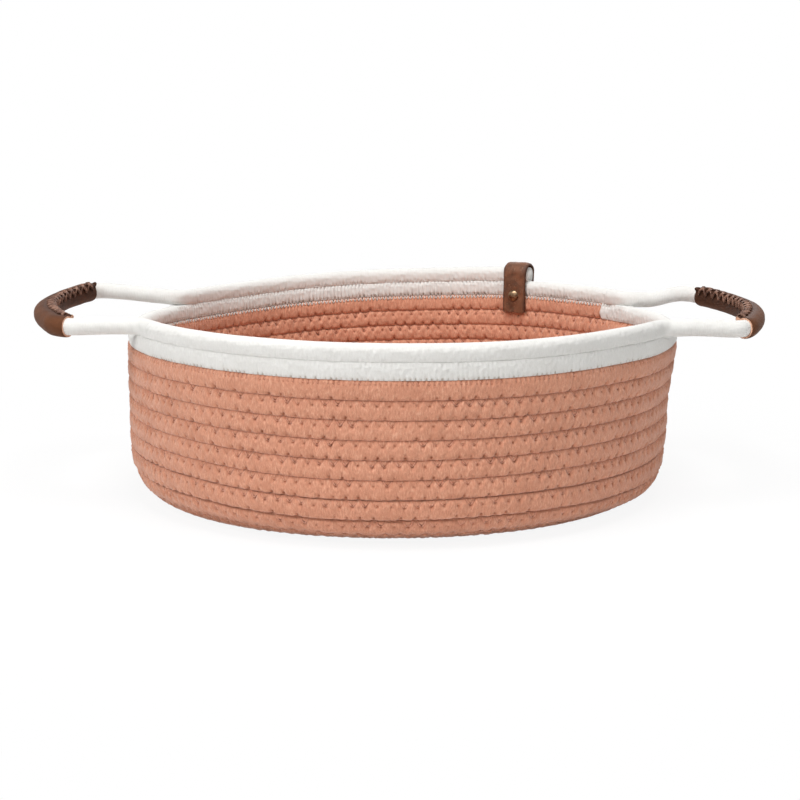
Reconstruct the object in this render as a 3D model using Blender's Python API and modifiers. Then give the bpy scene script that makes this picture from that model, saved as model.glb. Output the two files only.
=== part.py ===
"""A low round storage basket of coiled cotton rope with two rope side handles.

One coral rope is wound flat into the base and on up into the wall.
A white rope carries on from its end: one turn on the wall, then out and back as the
right handle, along the front rim, out and back as the left handle, and along the back
rim to its end under a leather tab. Each handle wears a leather sleeve laced on its seam.

Metres, +Z up, the origin at the centre of the base on the floor.
Angles run from +X towards +Y; the rope winds clockwise as seen from above.
"""

import math

import bmesh
import bpy
import numpy as np
from mathutils import Matrix, Vector

# Basket body
BASKET_DIAMETER = 0.330
CORAL_END_HEIGHT = 0.0945
CORNER_RADIUS = 0.0235
ROPE_DIAMETER = 0.0101
RIM_ROPE_DIAMETER = 0.0092
ROW_GAP = 0.00045
PART_GAP = 0.0003

# Places round the rim
TAB_ANGLE = math.radians(58.7)
CHANGE_SHORT_OF_ROOT = 0.0060
EASE_ANGLE = math.radians(30.0)
ROPE_END_PAST_TAB = 0.0084

# Handles
HANDLE_HALF_SPAN = 0.0685
HANDLE_APEX_REACH = 0.0546
RIGHT_BACK_REACH = 0.0280
RIGHT_FRONT_REACH = 0.0385
LEFT_BACK_REACH = 0.0395
LEFT_FRONT_REACH = 0.0355
ROOT_BEND_RADIUS = 0.016
ROOT_STRAIGHT = 0.0060
HANDLE_CORNER_RADIUS = 0.015
APEX_BOW_RADIUS = 0.113
BACK_STRAND_LIFT = 0.0030
FRONT_STRAND_SAG = 0.0012

# Leather sleeves and their lacing
GRIP_LENGTH = 0.136
LEATHER_THICKNESS = 0.0012
SEAM_SLIT = 0.0003
FLANGE_HEIGHT = 0.0022
FLANGE_CHAMFER = 0.0007
LACE_DIAMETER = 0.0016
LACE_PITCH = 0.0065

# Tab and rivet
TAB_WIDTH = 0.0175
TAB_THICKNESS = 0.0022
TAB_FLAP_LENGTH = 0.0345
TAB_TOP_CLEARANCE = 0.0012
TAB_EDGE_CHAMFER = 0.0004
RIVET_CAP_DIAMETER = 0.0080
RIVET_CAP_HEIGHT = 0.0022
RIVET_POST_DIAMETER = 0.0030
RIVET_BACK_HEIGHT = 0.0018
RIVET_SOCKET_DEPTH = 0.0009

CUT_OVERRUN = 0.020

# Counts, shares and angles of the shapes
POINTS_PER_TURN = 24
WOUND_SIDES = 6
HANDLE_SIDES = 8
LACE_SIDES = 6
STRAND_POINTS = 10
GRIP_POINTS = 24
SLEEVE_STEPS = 14
BORE_STEPS = 12
FILLET_STEPS = 12
FOLD_STEPS = 12
RIVET_STEPS = 24
DOME_STEPS = 6
POST_HOLE_STEPS = 16
LACE_POINTS_PER_STITCH = 6
ROOT_ANGLE_ROUNDS = 8
BOW_ROUNDS = 40
BACK_CLIMB_SHARE = 1.0
FIRST_LOOP_SHARE = 0.8
FLOOR_CUT_SHARE = 0.1
END_RUN_SHARE = 0.23
RIVET_EDGE_SHARE = 0.25
SEAM_ANGLE = math.radians(45.0)
LACE_SWING = math.radians(82.0)
SMOOTH_ANGLE = math.radians(65.0)

# Sizes that follow from those above
FULL_TURN = 2 * math.pi
QUARTER_TURN = math.pi / 2
WOUND_STEP = FULL_TURN / POINTS_PER_TURN
WOUND_STRETCH = 2 / (1 + math.cos(WOUND_STEP / 2))
ROPE_RADIUS = ROPE_DIAMETER / 2
RIM_ROPE_RADIUS = RIM_ROPE_DIAMETER / 2
ROW_PITCH = ROPE_DIAMETER + ROW_GAP
FIRST_RIM_STEP = ROPE_RADIUS + RIM_ROPE_RADIUS + ROW_GAP
NEXT_RIM_STEP = RIM_ROPE_DIAMETER + ROW_GAP
WALL_RADIUS = BASKET_DIAMETER / 2 - ROPE_RADIUS
FLAT_RADIUS = WALL_RADIUS - CORNER_RADIUS
CORNER_LENGTH = CORNER_RADIUS * QUARTER_TURN
BASE_HEIGHT = ROPE_RADIUS * math.cos(math.pi / WOUND_SIDES) - ROPE_DIAMETER * FLOOR_CUT_SHARE
CORAL_REACH = FLAT_RADIUS + CORNER_LENGTH + CORAL_END_HEIGHT - BASE_HEIGHT - CORNER_RADIUS
ROPE_END_ANGLE = TAB_ANGLE - ROPE_END_PAST_TAB / WALL_RADIUS
HANDLE_APEX = WALL_RADIUS + HANDLE_APEX_REACH
BORE_RADIUS = (RIM_ROPE_RADIUS + PART_GAP) / math.cos(math.pi / BORE_STEPS)
SLEEVE_RADIUS = BORE_RADIUS + LEATHER_THICKNESS
FLANGE_HALF = LEATHER_THICKNESS + SEAM_SLIT / 2
FLANGE_TIP = SLEEVE_RADIUS + FLANGE_HEIGHT
TAB_INSIDE = max(ROPE_RADIUS, RIM_ROPE_RADIUS) + PART_GAP
TAB_OUTSIDE = TAB_INSIDE + TAB_THICKNESS
RIVET_SEAT = TAB_OUTSIDE + PART_GAP
POST_RADIUS = RIVET_POST_DIAMETER / 2
POST_HOLE_RADIUS = POST_RADIUS + PART_GAP
MERGE_DISTANCE = LACE_DIAMETER / 1000

CORAL = (0.66, 0.30, 0.19, 1.0)
WHITE = (0.80, 0.79, 0.75, 1.0)
BROWN_LEATHER = (0.13, 0.055, 0.03, 1.0)
LACE_LEATHER = (0.10, 0.045, 0.03, 1.0)
BRONZE = (0.16, 0.11, 0.07, 1.0)


def handle_root_angle():
    """Angle from +X or -X at which the rope leaves the rim to bend into a handle's strand."""
    angle = math.asin(HANDLE_HALF_SPAN / WALL_RADIUS)
    for _ in range(ROOT_ANGLE_ROUNDS):
        half_bend = (QUARTER_TURN - angle) / 2
        run = ROOT_BEND_RADIUS * math.tan(half_bend) + ROOT_STRAIGHT
        angle = math.asin((HANDLE_HALF_SPAN + run * math.cos(angle)) / WALL_RADIUS)
    return angle


HANDLE_ROOT_ANGLE = handle_root_angle()
COLOUR_CHANGE_ANGLE = HANDLE_ROOT_ANGLE - CHANGE_SHORT_OF_ROOT / WALL_RADIUS


def clear_scene():
    for item in list(bpy.data.objects):
        bpy.data.objects.remove(item)


def new_collection(name):
    collection = bpy.data.collections.new(name)
    bpy.context.scene.collection.children.link(collection)
    return collection


def new_material(name, colour, roughness, metallic=0.0):
    material = bpy.data.materials.new(name)
    material.use_nodes = True
    shader = material.node_tree.nodes["Principled BSDF"]
    shader.inputs["Base Color"].default_value = colour
    shader.inputs["Roughness"].default_value = roughness
    shader.inputs["Metallic"].default_value = metallic
    material.diffuse_color = colour
    return material


def turns_climbed(run):
    """Turns of climb at an angle wound past the colour change; the climb is mostly at the back."""
    angle = COLOUR_CHANGE_ANGLE - run
    sway = BACK_CLIMB_SHARE * (math.cos(angle) - math.cos(COLOUR_CHANGE_ANGLE))
    return (run + sway) / FULL_TURN


def eased(share):
    """0 to 1 with level ends, held beyond them."""
    share = min(max(share, 0.0), 1.0)
    return share * share * (3 - 2 * share)


def coral_reach(run):
    """Distance of the coral rope's centre from the basket's axis, along base and wall."""
    return CORAL_REACH + ROW_PITCH * turns_climbed(run)


def white_reach(run):
    """The same for the white rope, which settles closer to the row below it."""
    if run <= FULL_TURN:
        settled = (ROW_PITCH - FIRST_RIM_STEP) * eased(run / EASE_ANGLE)
        return coral_reach(run) - settled
    past = run - FULL_TURN
    step = NEXT_RIM_STEP + (FIRST_RIM_STEP - NEXT_RIM_STEP) * (1 - eased(past / EASE_ANGLE))
    return white_reach(past) + step


def on_profile(reach):
    """Radius, height and slope of the rope's centre at a distance along base and wall."""
    if reach <= FLAT_RADIUS:
        return reach, BASE_HEIGHT, 0.0
    slope = (reach - FLAT_RADIUS) / CORNER_RADIUS
    if slope < QUARTER_TURN:
        radius = FLAT_RADIUS + CORNER_RADIUS * math.sin(slope)
        return radius, BASE_HEIGHT + CORNER_RADIUS * (1 - math.cos(slope)), slope
    height = BASE_HEIGHT + CORNER_RADIUS + reach - FLAT_RADIUS - CORNER_LENGTH
    return WALL_RADIUS, height, QUARTER_TURN


def wound_point(run, reach):
    """The rope's centre at a wound angle, and the profile's slope there.

    The points stand a little outside the true circle, so that the runs between them average to it.
    """
    radius, height, slope = on_profile(reach)
    radius *= WOUND_STRETCH
    angle = COLOUR_CHANGE_ANGLE - run
    return Vector((radius * math.cos(angle), radius * math.sin(angle), height)), slope


def next_step(run):
    """The next wound angle at which the rope has a point; the tab stands between two of them."""
    phase = (COLOUR_CHANGE_ANGLE - TAB_ANGLE + WOUND_STEP / 2) % WOUND_STEP
    return math.floor((run - phase) / WOUND_STEP + 1) * WOUND_STEP + phase


def clear_of_bends(run):
    """The nearest wound angle at which a cut end keeps a straight run on both its sides."""
    after = next_step(run)
    margin = WOUND_STEP * END_RUN_SHARE
    return min(max(run, after - WOUND_STEP + margin), after - margin)


def end_on_chord(run, reach_at):
    """A rope's end between two of its points, on the straight run that joins them."""
    after = next_step(run)
    before = after - WOUND_STEP
    first, first_slope = wound_point(before, reach_at(before))
    second, second_slope = wound_point(after, reach_at(after))
    share = (run - before) / WOUND_STEP
    return first.lerp(second, share), first_slope + (second_slope - first_slope) * share


def chord_direction(run, reach_at):
    """The rope's direction on the straight run that holds a wound angle."""
    after = next_step(run)
    before = after - WOUND_STEP
    ahead = wound_point(after, reach_at(after))[0] - wound_point(before, reach_at(before))[0]
    return ahead.normalized()


def wound_places(first, last, reach_at):
    """The rope's points and slopes from one wound angle to another, with both ends on straight runs."""
    places = [end_on_chord(first, reach_at)]
    run = next_step(first)
    while run < last:
        places.append(wound_point(run, reach_at(run)))
        run += WOUND_STEP
    places.append(end_on_chord(last, reach_at))
    return places


def shortened(points, start_gap, end_gap):
    """The same line with its two ends drawn in."""
    points = [point.copy() for point in points]
    points[0] += (points[1] - points[0]).normalized() * start_gap
    points[-1] += (points[-2] - points[-1]).normalized() * end_gap
    return points


def rope_curve(name, points, tilts, radius, sides, material, collection):
    """A round tube of this many sides along the points, as a curve object with filled ends."""
    curve = bpy.data.curves.new(name, "CURVE")
    curve.dimensions = "3D"
    curve.twist_mode = "Z_UP"
    curve.bevel_depth = radius
    curve.bevel_resolution = sides // 2 - 2
    curve.use_fill_caps = True
    spline = curve.splines.new("POLY")
    spline.points.add(len(points) - 1)
    for place, point, tilt in zip(spline.points, points, tilts):
        place.co = (*point, 1.0)
        place.tilt = tilt
    curve.materials.append(material)
    rope = bpy.data.objects.new(name, curve)
    collection.objects.link(rope)
    return rope


def as_mesh(item, collection):
    """The object's evaluated shape as a mesh object of the same name, its caps welded on."""
    bpy.context.view_layer.update()
    graph = bpy.context.evaluated_depsgraph_get()
    mesh = bpy.data.meshes.new_from_object(item.evaluated_get(graph))
    welded = bmesh.new()
    welded.from_mesh(mesh)
    bmesh.ops.remove_doubles(welded, verts=welded.verts, dist=MERGE_DISTANCE)
    bmesh.ops.recalc_face_normals(welded, faces=welded.faces)
    welded.to_mesh(mesh)
    welded.free()
    name = item.name
    matrix = item.matrix_world.copy()
    bpy.data.objects.remove(item)
    made = bpy.data.objects.new(name, mesh)
    made.matrix_world = matrix
    collection.objects.link(made)
    shade_round(made)
    return made


def cut_away(item, cutter):
    """Cuts the cutter's shape out of the item, kept as a modifier."""
    modifier = item.modifiers.new(cutter.name, "BOOLEAN")
    modifier.object = cutter
    modifier.operation = "DIFFERENCE"
    modifier.solver = "EXACT"


def hide_cutter(cutter):
    cutter.hide_render = True
    cutter.display_type = "WIRE"


def shade_round(item):
    item.data.shade_smooth()
    item.data.set_sharp_from_angle(angle=SMOOTH_ANGLE)


def least_self_gap(rope_mesh, rings, sides):
    """Least distance between corners of the tube that are half a turn or more apart along it."""
    corners = np.empty(len(rope_mesh.vertices) * 3)
    rope_mesh.vertices.foreach_get("co", corners)
    corners = corners.reshape(-1, 3)[-rings * sides :].reshape(rings, sides, 3)
    apart = POINTS_PER_TURN // 2
    least = math.inf
    for ring in range(rings - apart):
        others = corners[ring + apart :].reshape(-1, 1, 3)
        gaps = np.linalg.norm(others - corners[ring], axis=2)
        least = min(least, gaps.min())
    return least


def report_self_gap(rope):
    """Prints the least gap between neighbouring rows of one wound rope."""
    rings = len(rope.data.splines[0].points)
    bpy.context.view_layer.update()
    graph = bpy.context.evaluated_depsgraph_get()
    mesh = bpy.data.meshes.new_from_object(rope.evaluated_get(graph))
    gap = least_self_gap(mesh, rings, WOUND_SIDES)
    print(f"{rope.name}: least gap to itself {gap * 1000:.3f} mm")
    bpy.data.meshes.remove(mesh)


def wound_rope(name, first, last, reach_at, radius, material, collection, gaps):
    """One unbroken stretch of wound rope, its ends drawn in by the gaps."""
    places = wound_places(first, last, reach_at)
    points = shortened([point for point, _ in places], *gaps)
    tilts = [slope for _, slope in places]
    return rope_curve(name, points, tilts, radius, WOUND_SIDES, material, collection)


def run_at_reach(reach):
    """The wound angle, midway between two points, from which the coral rope lies past that reach."""
    run = next_step(0) - WOUND_STEP - WOUND_STEP / 2
    while coral_reach(run - WOUND_STEP) > reach:
        run -= WOUND_STEP
    return run


def move_to(item, collection):
    """Takes the item out of the collections it is in and puts it in this one."""
    for old in list(item.users_collection):
        old.objects.unlink(item)
    collection.objects.link(item)


def make_floor_cutter(collection):
    """A slab whose top is the floor."""
    bpy.ops.mesh.primitive_cube_add(size=1.0)
    cutter = bpy.context.object
    cutter.name = "floor_cutter"
    width = BASKET_DIAMETER + CUT_OVERRUN
    cutter.scale = (width, width, CUT_OVERRUN)
    cutter.location = (0, 0, -CUT_OVERRUN / 2)
    move_to(cutter, collection)
    hide_cutter(cutter)
    return cutter


def make_coral_rope(parts, cutters, material):
    """The coral rope: the flat base coil, and the coil that turns up into the wall."""
    start = run_at_reach(ROW_PITCH * FIRST_LOOP_SHARE)
    turn_up = run_at_reach(FLAT_RADIUS)
    last = clear_of_bends(0.0)
    half_gap = PART_GAP / 2
    floor_cutter = make_floor_cutter(cutters)
    stretches = (
        ("base_coil", start, turn_up, (0, half_gap)),
        ("wall_coil", turn_up, last, (half_gap, half_gap)),
    )
    coils = []
    for name, begin, end, gaps in stretches:
        rope = wound_rope(name, begin, end, coral_reach, ROPE_RADIUS, material, parts, gaps)
        report_self_gap(rope)
        coil = as_mesh(rope, parts)
        cut_away(coil, floor_cutter)
        coils.append(coil)
    return coils


def rim_run(angle, lap):
    """Wound angle of the white rope at an angle round the rim on its first or second lap."""
    return (COLOUR_CHANGE_ANGLE - angle) % FULL_TURN + lap * FULL_TURN


def root_runs():
    """Wound angles of the right back, right front, left front and left back handle roots."""
    root = HANDLE_ROOT_ANGLE
    places = ((root, 0), (-root, 1), (math.pi + root, 1), (math.pi - root, 1))
    return [clear_of_bends(rim_run(angle, lap)) for angle, lap in places]


def make_rim_ropes(parts, material):
    """The white rope's three stretches that are sewn down: below the rim, at its front and its back."""
    right_back, right_front, left_front, left_back = root_runs()
    start = clear_of_bends(0.0)
    rope_end = clear_of_bends(rim_run(ROPE_END_ANGLE, 1))
    half_gap = PART_GAP / 2
    stretches = (
        ("rim_rope_lower", start, right_back, (half_gap, half_gap)),
        ("rim_rope_front", right_front, left_front, (half_gap, half_gap)),
        ("rim_rope_back", left_back, rope_end, (half_gap, 0)),
    )
    return [
        wound_rope(name, begin, end, white_reach, RIM_ROPE_RADIUS, material, parts, gaps)
        for name, begin, end, gaps in stretches
    ]


def evenly(first, last, count):
    """This many values from first to last, at even steps."""
    return [first + (last - first) * index / (count - 1) for index in range(count)]


def fillet(before, corner, after, radius):
    """Centre of the arc that rounds a corner in plan, its middle direction and half its turn."""
    inward = (before - corner).normalized()
    outward = (after - corner).normalized()
    half_turn = (math.pi - inward.angle(outward)) / 2
    middle = (inward + outward).normalized()
    return corner + middle * (radius / math.cos(half_turn)), middle, half_turn


def filleted(corners, radii):
    """Plan points along straight runs joined by arcs, one radius for each inner corner."""
    points = [corners[0]]
    for before, corner, after, radius in zip(corners, corners[1:], corners[2:], radii):
        centre, middle, half_turn = fillet(before, corner, after, radius)
        side = (after - corner).normalized() - (before - corner).normalized()
        side.normalize()
        for sweep in evenly(-half_turn, half_turn, FILLET_STEPS + 1):
            offset = side * math.sin(sweep) - middle * math.cos(sweep)
            points.append(centre + offset * radius)
    points.append(corners[-1])
    return points


def turn_out(root, direction, half_span):
    """Where the line of the rope at a handle's root meets the line of the handle's strand."""
    return root + direction * ((half_span - root.y) / direction.y)


def straight_left(turn, corner, beyond):
    """Length of the run past a strand's corner towards the bow, less what rounding the corner takes."""
    _, _, half_turn = fillet(turn, corner, beyond, HANDLE_CORNER_RADIUS)
    return (beyond - corner).length - HANDLE_CORNER_RADIUS * math.tan(half_turn)


def bow(back_turn, back_corner, front_corner, front_turn):
    """Where the two runs beside the bow would meet, so that it just reaches the apex, and its radius.

    The radius is as named, or what the straight runs beside the bow leave room for.
    """
    corner = Vector((HANDLE_APEX, 0))
    radius = APEX_BOW_RADIUS
    for _ in range(BOW_ROUNDS):
        centre, _, half_turn = fillet(back_corner, corner, front_corner, radius)
        corner.x += HANDLE_APEX - radius - centre.x
        room = min(
            straight_left(back_turn, back_corner, corner),
            straight_left(front_turn, front_corner, corner),
        )
        radius = min(APEX_BOW_RADIUS, room / math.tan(half_turn))
    return corner, radius


def handle_plan(back, front, reaches):
    """The handle's centre line in plan, on the right side, from its back root to its front root.

    Each root is a point of the rim and the direction in which the rim rope runs there. The
    reaches are those of the back and front strands from the wall to their corners.
    """
    back_turn = turn_out(*back, HANDLE_HALF_SPAN)
    front_turn = turn_out(*front, -HANDLE_HALF_SPAN)
    back_corner = Vector((WALL_RADIUS + reaches[0], HANDLE_HALF_SPAN))
    front_corner = Vector((WALL_RADIUS + reaches[1], -HANDLE_HALF_SPAN))
    apex, bow_radius = bow(back_turn, back_corner, front_corner, front_turn)
    corners = [back[0], back_turn, back_corner, apex, front_corner, front_turn, front[0]]
    half = [ROOT_BEND_RADIUS, HANDLE_CORNER_RADIUS]
    return filleted(corners, half + [bow_radius] + half[::-1])


def spread_along(points, places):
    """Points at the given distances along a line."""
    line = np.array([tuple(point) for point in points])
    lengths = np.concatenate([[0.0], np.cumsum(np.linalg.norm(np.diff(line, axis=0), axis=1))])
    columns = [np.interp(places, lengths, line[:, axis]) for axis in range(line.shape[1])]
    return [Vector(row) for row in zip(*columns)]


def length_of(points):
    """Length of the line through the points."""
    return sum((after - before).length for before, after in zip(points, points[1:]))


def handle_height(share, back_height, front_height):
    """The strand's height: level between its roots, but arched at the back and sagging at the front."""
    level = back_height + (front_height - back_height) * share
    arch = BACK_STRAND_LIFT if share < 1 / 2 else -FRONT_STRAND_SAG
    return level + arch * math.sin(FULL_TURN * share) ** 2


class Handle:
    """One handle's side, roots and route, with the axis its rope bends about."""

    def __init__(self, name, side, back_run, front_run, reaches):
        self.name = name
        self.side = side
        back = end_on_chord(back_run, white_reach)[0]
        front = end_on_chord(front_run, white_reach)[0]
        self.heights = (back.z, front.z)
        back_direction = chord_direction(back_run, white_reach)
        front_direction = chord_direction(front_run, white_reach)
        self.plan = handle_plan(
            (self.to_right(back), self.to_right(back_direction)),
            (self.to_right(front), self.to_right(front_direction)),
            reaches,
        )
        self.length = length_of(self.plan)

    def grip_distances(self):
        """Where the sleeve's rings stand, from the back root."""
        first = (self.length - GRIP_LENGTH) / 2
        return evenly(first, first + GRIP_LENGTH, GRIP_POINTS)

    def rope_distances(self):
        """Where the rope's rings stand: the sleeve's, and more out to a straight run at each root."""
        straight = (self.plan[1] - self.plan[0]).length
        last_straight = (self.plan[-1] - self.plan[-2]).length
        grip = self.grip_distances()
        back_strand = evenly(straight, grip[0], STRAND_POINTS)[:-1]
        front_strand = evenly(grip[-1], self.length - last_straight, STRAND_POINTS)[1:]
        return [0.0] + back_strand + grip + front_strand + [self.length]

    def to_right(self, place):
        """A place or direction in plan, mirrored to the right side where the handle is on the left."""
        return Vector((place.x * self.side, place.y))

    def points(self, distances):
        """The centre line at these distances from the back root."""
        made = []
        for distance, place in zip(distances, spread_along(self.plan, distances)):
            height = handle_height(distance / self.length, *self.heights)
            made.append(Vector((place.x * self.side, place.y, height)))
        return made

    def hinge(self):
        """The tops of the rope at its two roots, on which it bends up."""
        back, front = self.points([0.0, self.length])
        top = Vector((0, 0, RIM_ROPE_RADIUS))
        return back + top, front + top


def make_handle_rope(handle, material, collection):
    """The stretch of white rope between the handle's roots, straight at both its ends."""
    half_gap = PART_GAP / 2
    points = shortened(handle.points(handle.rope_distances()), half_gap, half_gap)
    name = f"{handle.name}_handle_rope"
    tilts = [0.0] * len(points)
    return rope_curve(name, points, tilts, RIM_ROPE_RADIUS, HANDLE_SIDES, material, collection)


def sleeve_outline():
    """The sleeve's section: a ring with a slit, whose two lips stand up along the seam at +X."""
    half_slit = SEAM_SLIT / 2
    bore_edge = math.asin(half_slit / BORE_RADIUS)
    skin_edge = math.asin(FLANGE_HALF / SLEEVE_RADIUS)
    outline = [(FLANGE_TIP, half_slit), (FLANGE_TIP, FLANGE_HALF - FLANGE_CHAMFER)]
    outline.append((FLANGE_TIP - FLANGE_CHAMFER, FLANGE_HALF))
    for angle in evenly(skin_edge, FULL_TURN - skin_edge, SLEEVE_STEPS):
        outline.append((SLEEVE_RADIUS * math.cos(angle), SLEEVE_RADIUS * math.sin(angle)))
    outline.append((FLANGE_TIP - FLANGE_CHAMFER, -FLANGE_HALF))
    outline.append((FLANGE_TIP, FLANGE_CHAMFER - FLANGE_HALF))
    outline.append((FLANGE_TIP, -half_slit))
    for angle in evenly(FULL_TURN - bore_edge, bore_edge, BORE_STEPS):
        outline.append((BORE_RADIUS * math.cos(angle), BORE_RADIUS * math.sin(angle)))
    return outline


def make_sleeve_section(name, turn, collection):
    """The section as a flat closed curve, turned so that its seam faces the right way."""
    curve = bpy.data.curves.new(name, "CURVE")
    curve.dimensions = "2D"
    curve.fill_mode = "NONE"
    spline = curve.splines.new("POLY")
    outline = sleeve_outline()
    spline.points.add(len(outline) - 1)
    spline.use_cyclic_u = True
    for place, (x, y) in zip(spline.points, outline):
        turned_x = x * math.cos(turn) - y * math.sin(turn)
        turned_y = x * math.sin(turn) + y * math.cos(turn)
        place.co = (turned_x, turned_y, 0.0, 1.0)
    section = bpy.data.objects.new(name, curve)
    collection.objects.link(section)
    hide_cutter(section)
    return section


def make_grip(handle, material, parts, cutters):
    """The leather sleeve round the handle's outer run."""
    turn = SEAM_ANGLE if handle.side < 0 else math.pi - SEAM_ANGLE
    section = make_sleeve_section(f"{handle.name}_sleeve_section", turn, cutters)
    points = handle.points(handle.grip_distances())
    tilts = [0.0] * len(points)
    name = f"{handle.name}_grip"
    grip = rope_curve(name, points, tilts, SLEEVE_RADIUS, SLEEVE_STEPS, material, parts)
    grip.data.bevel_mode = "OBJECT"
    grip.data.bevel_object = section
    mesh_grip = as_mesh(grip, parts)
    bpy.data.objects.remove(section)
    return mesh_grip


def seam_frame(points, index, side):
    """Directions at a route point: along it, towards the seam, and across the seam."""
    last = len(points) - 1
    along = (points[min(index + 1, last)] - points[max(index - 1, 0)]).normalized()
    inward = Vector((0, 0, 1)).cross(along).normalized() * (-side)
    up = along.cross(inward) * (-side)
    seam = inward * math.cos(SEAM_ANGLE) + up * math.sin(SEAM_ANGLE)
    return along, seam, along.cross(seam)


def make_lacing(handle, material, collection):
    """The lace that zigzags over the seam's lips from end to end of the sleeve."""
    stitches = int((GRIP_LENGTH - LACE_PITCH) / LACE_PITCH)
    count = stitches * LACE_POINTS_PER_STITCH + 1
    middle = handle.length / 2
    half = stitches * LACE_PITCH / 2
    route = handle.points(evenly(middle - half, middle + half, count))
    lace_radius = LACE_DIAMETER / 2
    core = math.hypot(FLANGE_HALF, FLANGE_HALF - FLANGE_CHAMFER)
    reach = (core + lace_radius + PART_GAP) / math.cos(LACE_SWING / (LACE_POINTS_PER_STITCH / 2))
    beside = FLANGE_HALF + lace_radius + PART_GAP
    points = []
    for index, centre in enumerate(route):
        _, seam, across = seam_frame(route, index, handle.side)
        phase = (index % LACE_POINTS_PER_STITCH) / LACE_POINTS_PER_STITCH
        swing = LACE_SWING * (1 - abs(4 * phase - 2))
        rise = FLANGE_TIP - FLANGE_HALF + reach * math.cos(swing)
        aside = min(max(reach * math.sin(swing), -beside), beside)
        points.append(centre + seam * rise + across * aside)
    tilts = [0.0] * len(points)
    name = f"{handle.name}_lacing"
    return rope_curve(name, points, tilts, lace_radius, LACE_SIDES, material, collection)


def tab_frame(height):
    """Places the tab's own axes: X out from the basket, Y along the rim, Z up."""
    turned = Matrix.Rotation(TAB_ANGLE, 4, "Z")
    radius = WALL_RADIUS * WOUND_STRETCH * math.cos(WOUND_STEP / 2)
    return turned @ Matrix.Translation((radius, 0, height))


def tab_heights():
    """Heights of the rivet's seam and of the top of the rope under the tab."""
    lower, upper = [end_on_chord(rim_run(TAB_ANGLE, lap), white_reach)[0].z for lap in (0, 1)]
    return lower - RIM_ROPE_RADIUS - ROW_GAP / 2, upper + RIM_ROPE_RADIUS


def fold_points(height, radius, first, last):
    """Points of the tab's fold round the rope: an arc about a centre at this height."""
    return [
        (radius * math.cos(angle), height + radius * math.sin(angle))
        for angle in evenly(first, last, FOLD_STEPS + 1)
    ]


def tab_outline():
    """The folded strap seen along the rim: two flaps joined by a round fold over the top."""
    _, rope_top = tab_heights()
    fold = rope_top + TAB_TOP_CLEARANCE - TAB_INSIDE
    bottom = fold + TAB_OUTSIDE - TAB_FLAP_LENGTH
    outline = [(TAB_OUTSIDE, bottom)]
    outline += fold_points(fold, TAB_OUTSIDE, 0, math.pi)
    outline += [(-TAB_OUTSIDE, bottom), (-TAB_INSIDE, bottom)]
    outline += fold_points(fold, TAB_INSIDE, math.pi, 0)
    outline.append((TAB_INSIDE, bottom))
    return outline


def make_tab(parts, material):
    """The leather strap folded over the rim, its edges chamfered."""
    curve = bpy.data.curves.new("rim_tab", "CURVE")
    curve.dimensions = "2D"
    curve.fill_mode = "BOTH"
    curve.extrude = TAB_WIDTH / 2
    spline = curve.splines.new("POLY")
    outline = tab_outline()
    spline.points.add(len(outline) - 1)
    spline.use_cyclic_u = True
    for place, (x, y) in zip(spline.points, outline):
        place.co = (x, y, 0.0, 1.0)
    curve.materials.append(material)
    tab = bpy.data.objects.new("rim_tab", curve)
    parts.objects.link(tab)
    tab.matrix_world = tab_frame(0) @ Matrix.Rotation(QUARTER_TURN, 4, "X")
    solid_tab = as_mesh(tab, parts)
    chamfer = solid_tab.modifiers.new("edge_chamfer", "BEVEL")
    chamfer.width = TAB_EDGE_CHAMFER
    chamfer.segments = 1
    chamfer.angle_limit = SMOOTH_ANGLE
    return solid_tab


def turned_piece(name, profile, material, collection):
    """A piece turned about its own Z axis from a profile of radius and height."""
    mesh = bpy.data.meshes.new(name)
    points = [(radius, 0, height) for radius, height in profile]
    edges = [(index, index + 1) for index in range(len(points) - 1)]
    mesh.from_pydata(points, edges, [])
    mesh.materials.append(material)
    piece = bpy.data.objects.new(name, mesh)
    collection.objects.link(piece)
    screw = piece.modifiers.new("turn", "SCREW")
    screw.steps = RIVET_STEPS
    screw.render_steps = RIVET_STEPS
    screw.use_merge_vertices = True
    screw.merge_threshold = MERGE_DISTANCE
    return piece


def dome_profile(rise):
    """Points of a rivet head from its seat on the tab to its top, over a short straight edge."""
    radius = RIVET_CAP_DIAMETER / 2
    edge = RIVET_SEAT + rise * RIVET_EDGE_SHARE
    crown = RIVET_SEAT + rise - edge
    points = [(radius, RIVET_SEAT)]
    for angle in evenly(0, QUARTER_TURN, DOME_STEPS + 1):
        points.append((radius * math.cos(angle), edge + crown * math.sin(angle)))
    return points


def rivet_matrix(direction):
    """Puts a turned piece on the rivet's axis, its top facing out (1) or in (-1)."""
    seam, _ = tab_heights()
    return tab_frame(seam) @ Matrix.Rotation(direction * QUARTER_TURN, 4, "Y")


def make_rivet(parts, material):
    """The dome inside the basket with its post, and the outer head with the post's socket."""
    post_end = RIVET_SEAT + RIVET_SOCKET_DEPTH - PART_GAP
    post = [(0, -post_end), (POST_RADIUS, -post_end), (POST_RADIUS, RIVET_SEAT)]
    cap_profile = post + dome_profile(RIVET_CAP_HEIGHT)
    cap = turned_piece("rivet_cap", cap_profile[::-1], material, parts)
    cap.matrix_world = rivet_matrix(-1)
    bottom = RIVET_SEAT + RIVET_SOCKET_DEPTH
    socket = [(0, bottom), (POST_HOLE_RADIUS, bottom), (POST_HOLE_RADIUS, RIVET_SEAT)]
    back_profile = socket + dome_profile(RIVET_BACK_HEIGHT)
    back = turned_piece("rivet_back", back_profile[::-1], material, parts)
    back.matrix_world = rivet_matrix(1)


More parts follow.
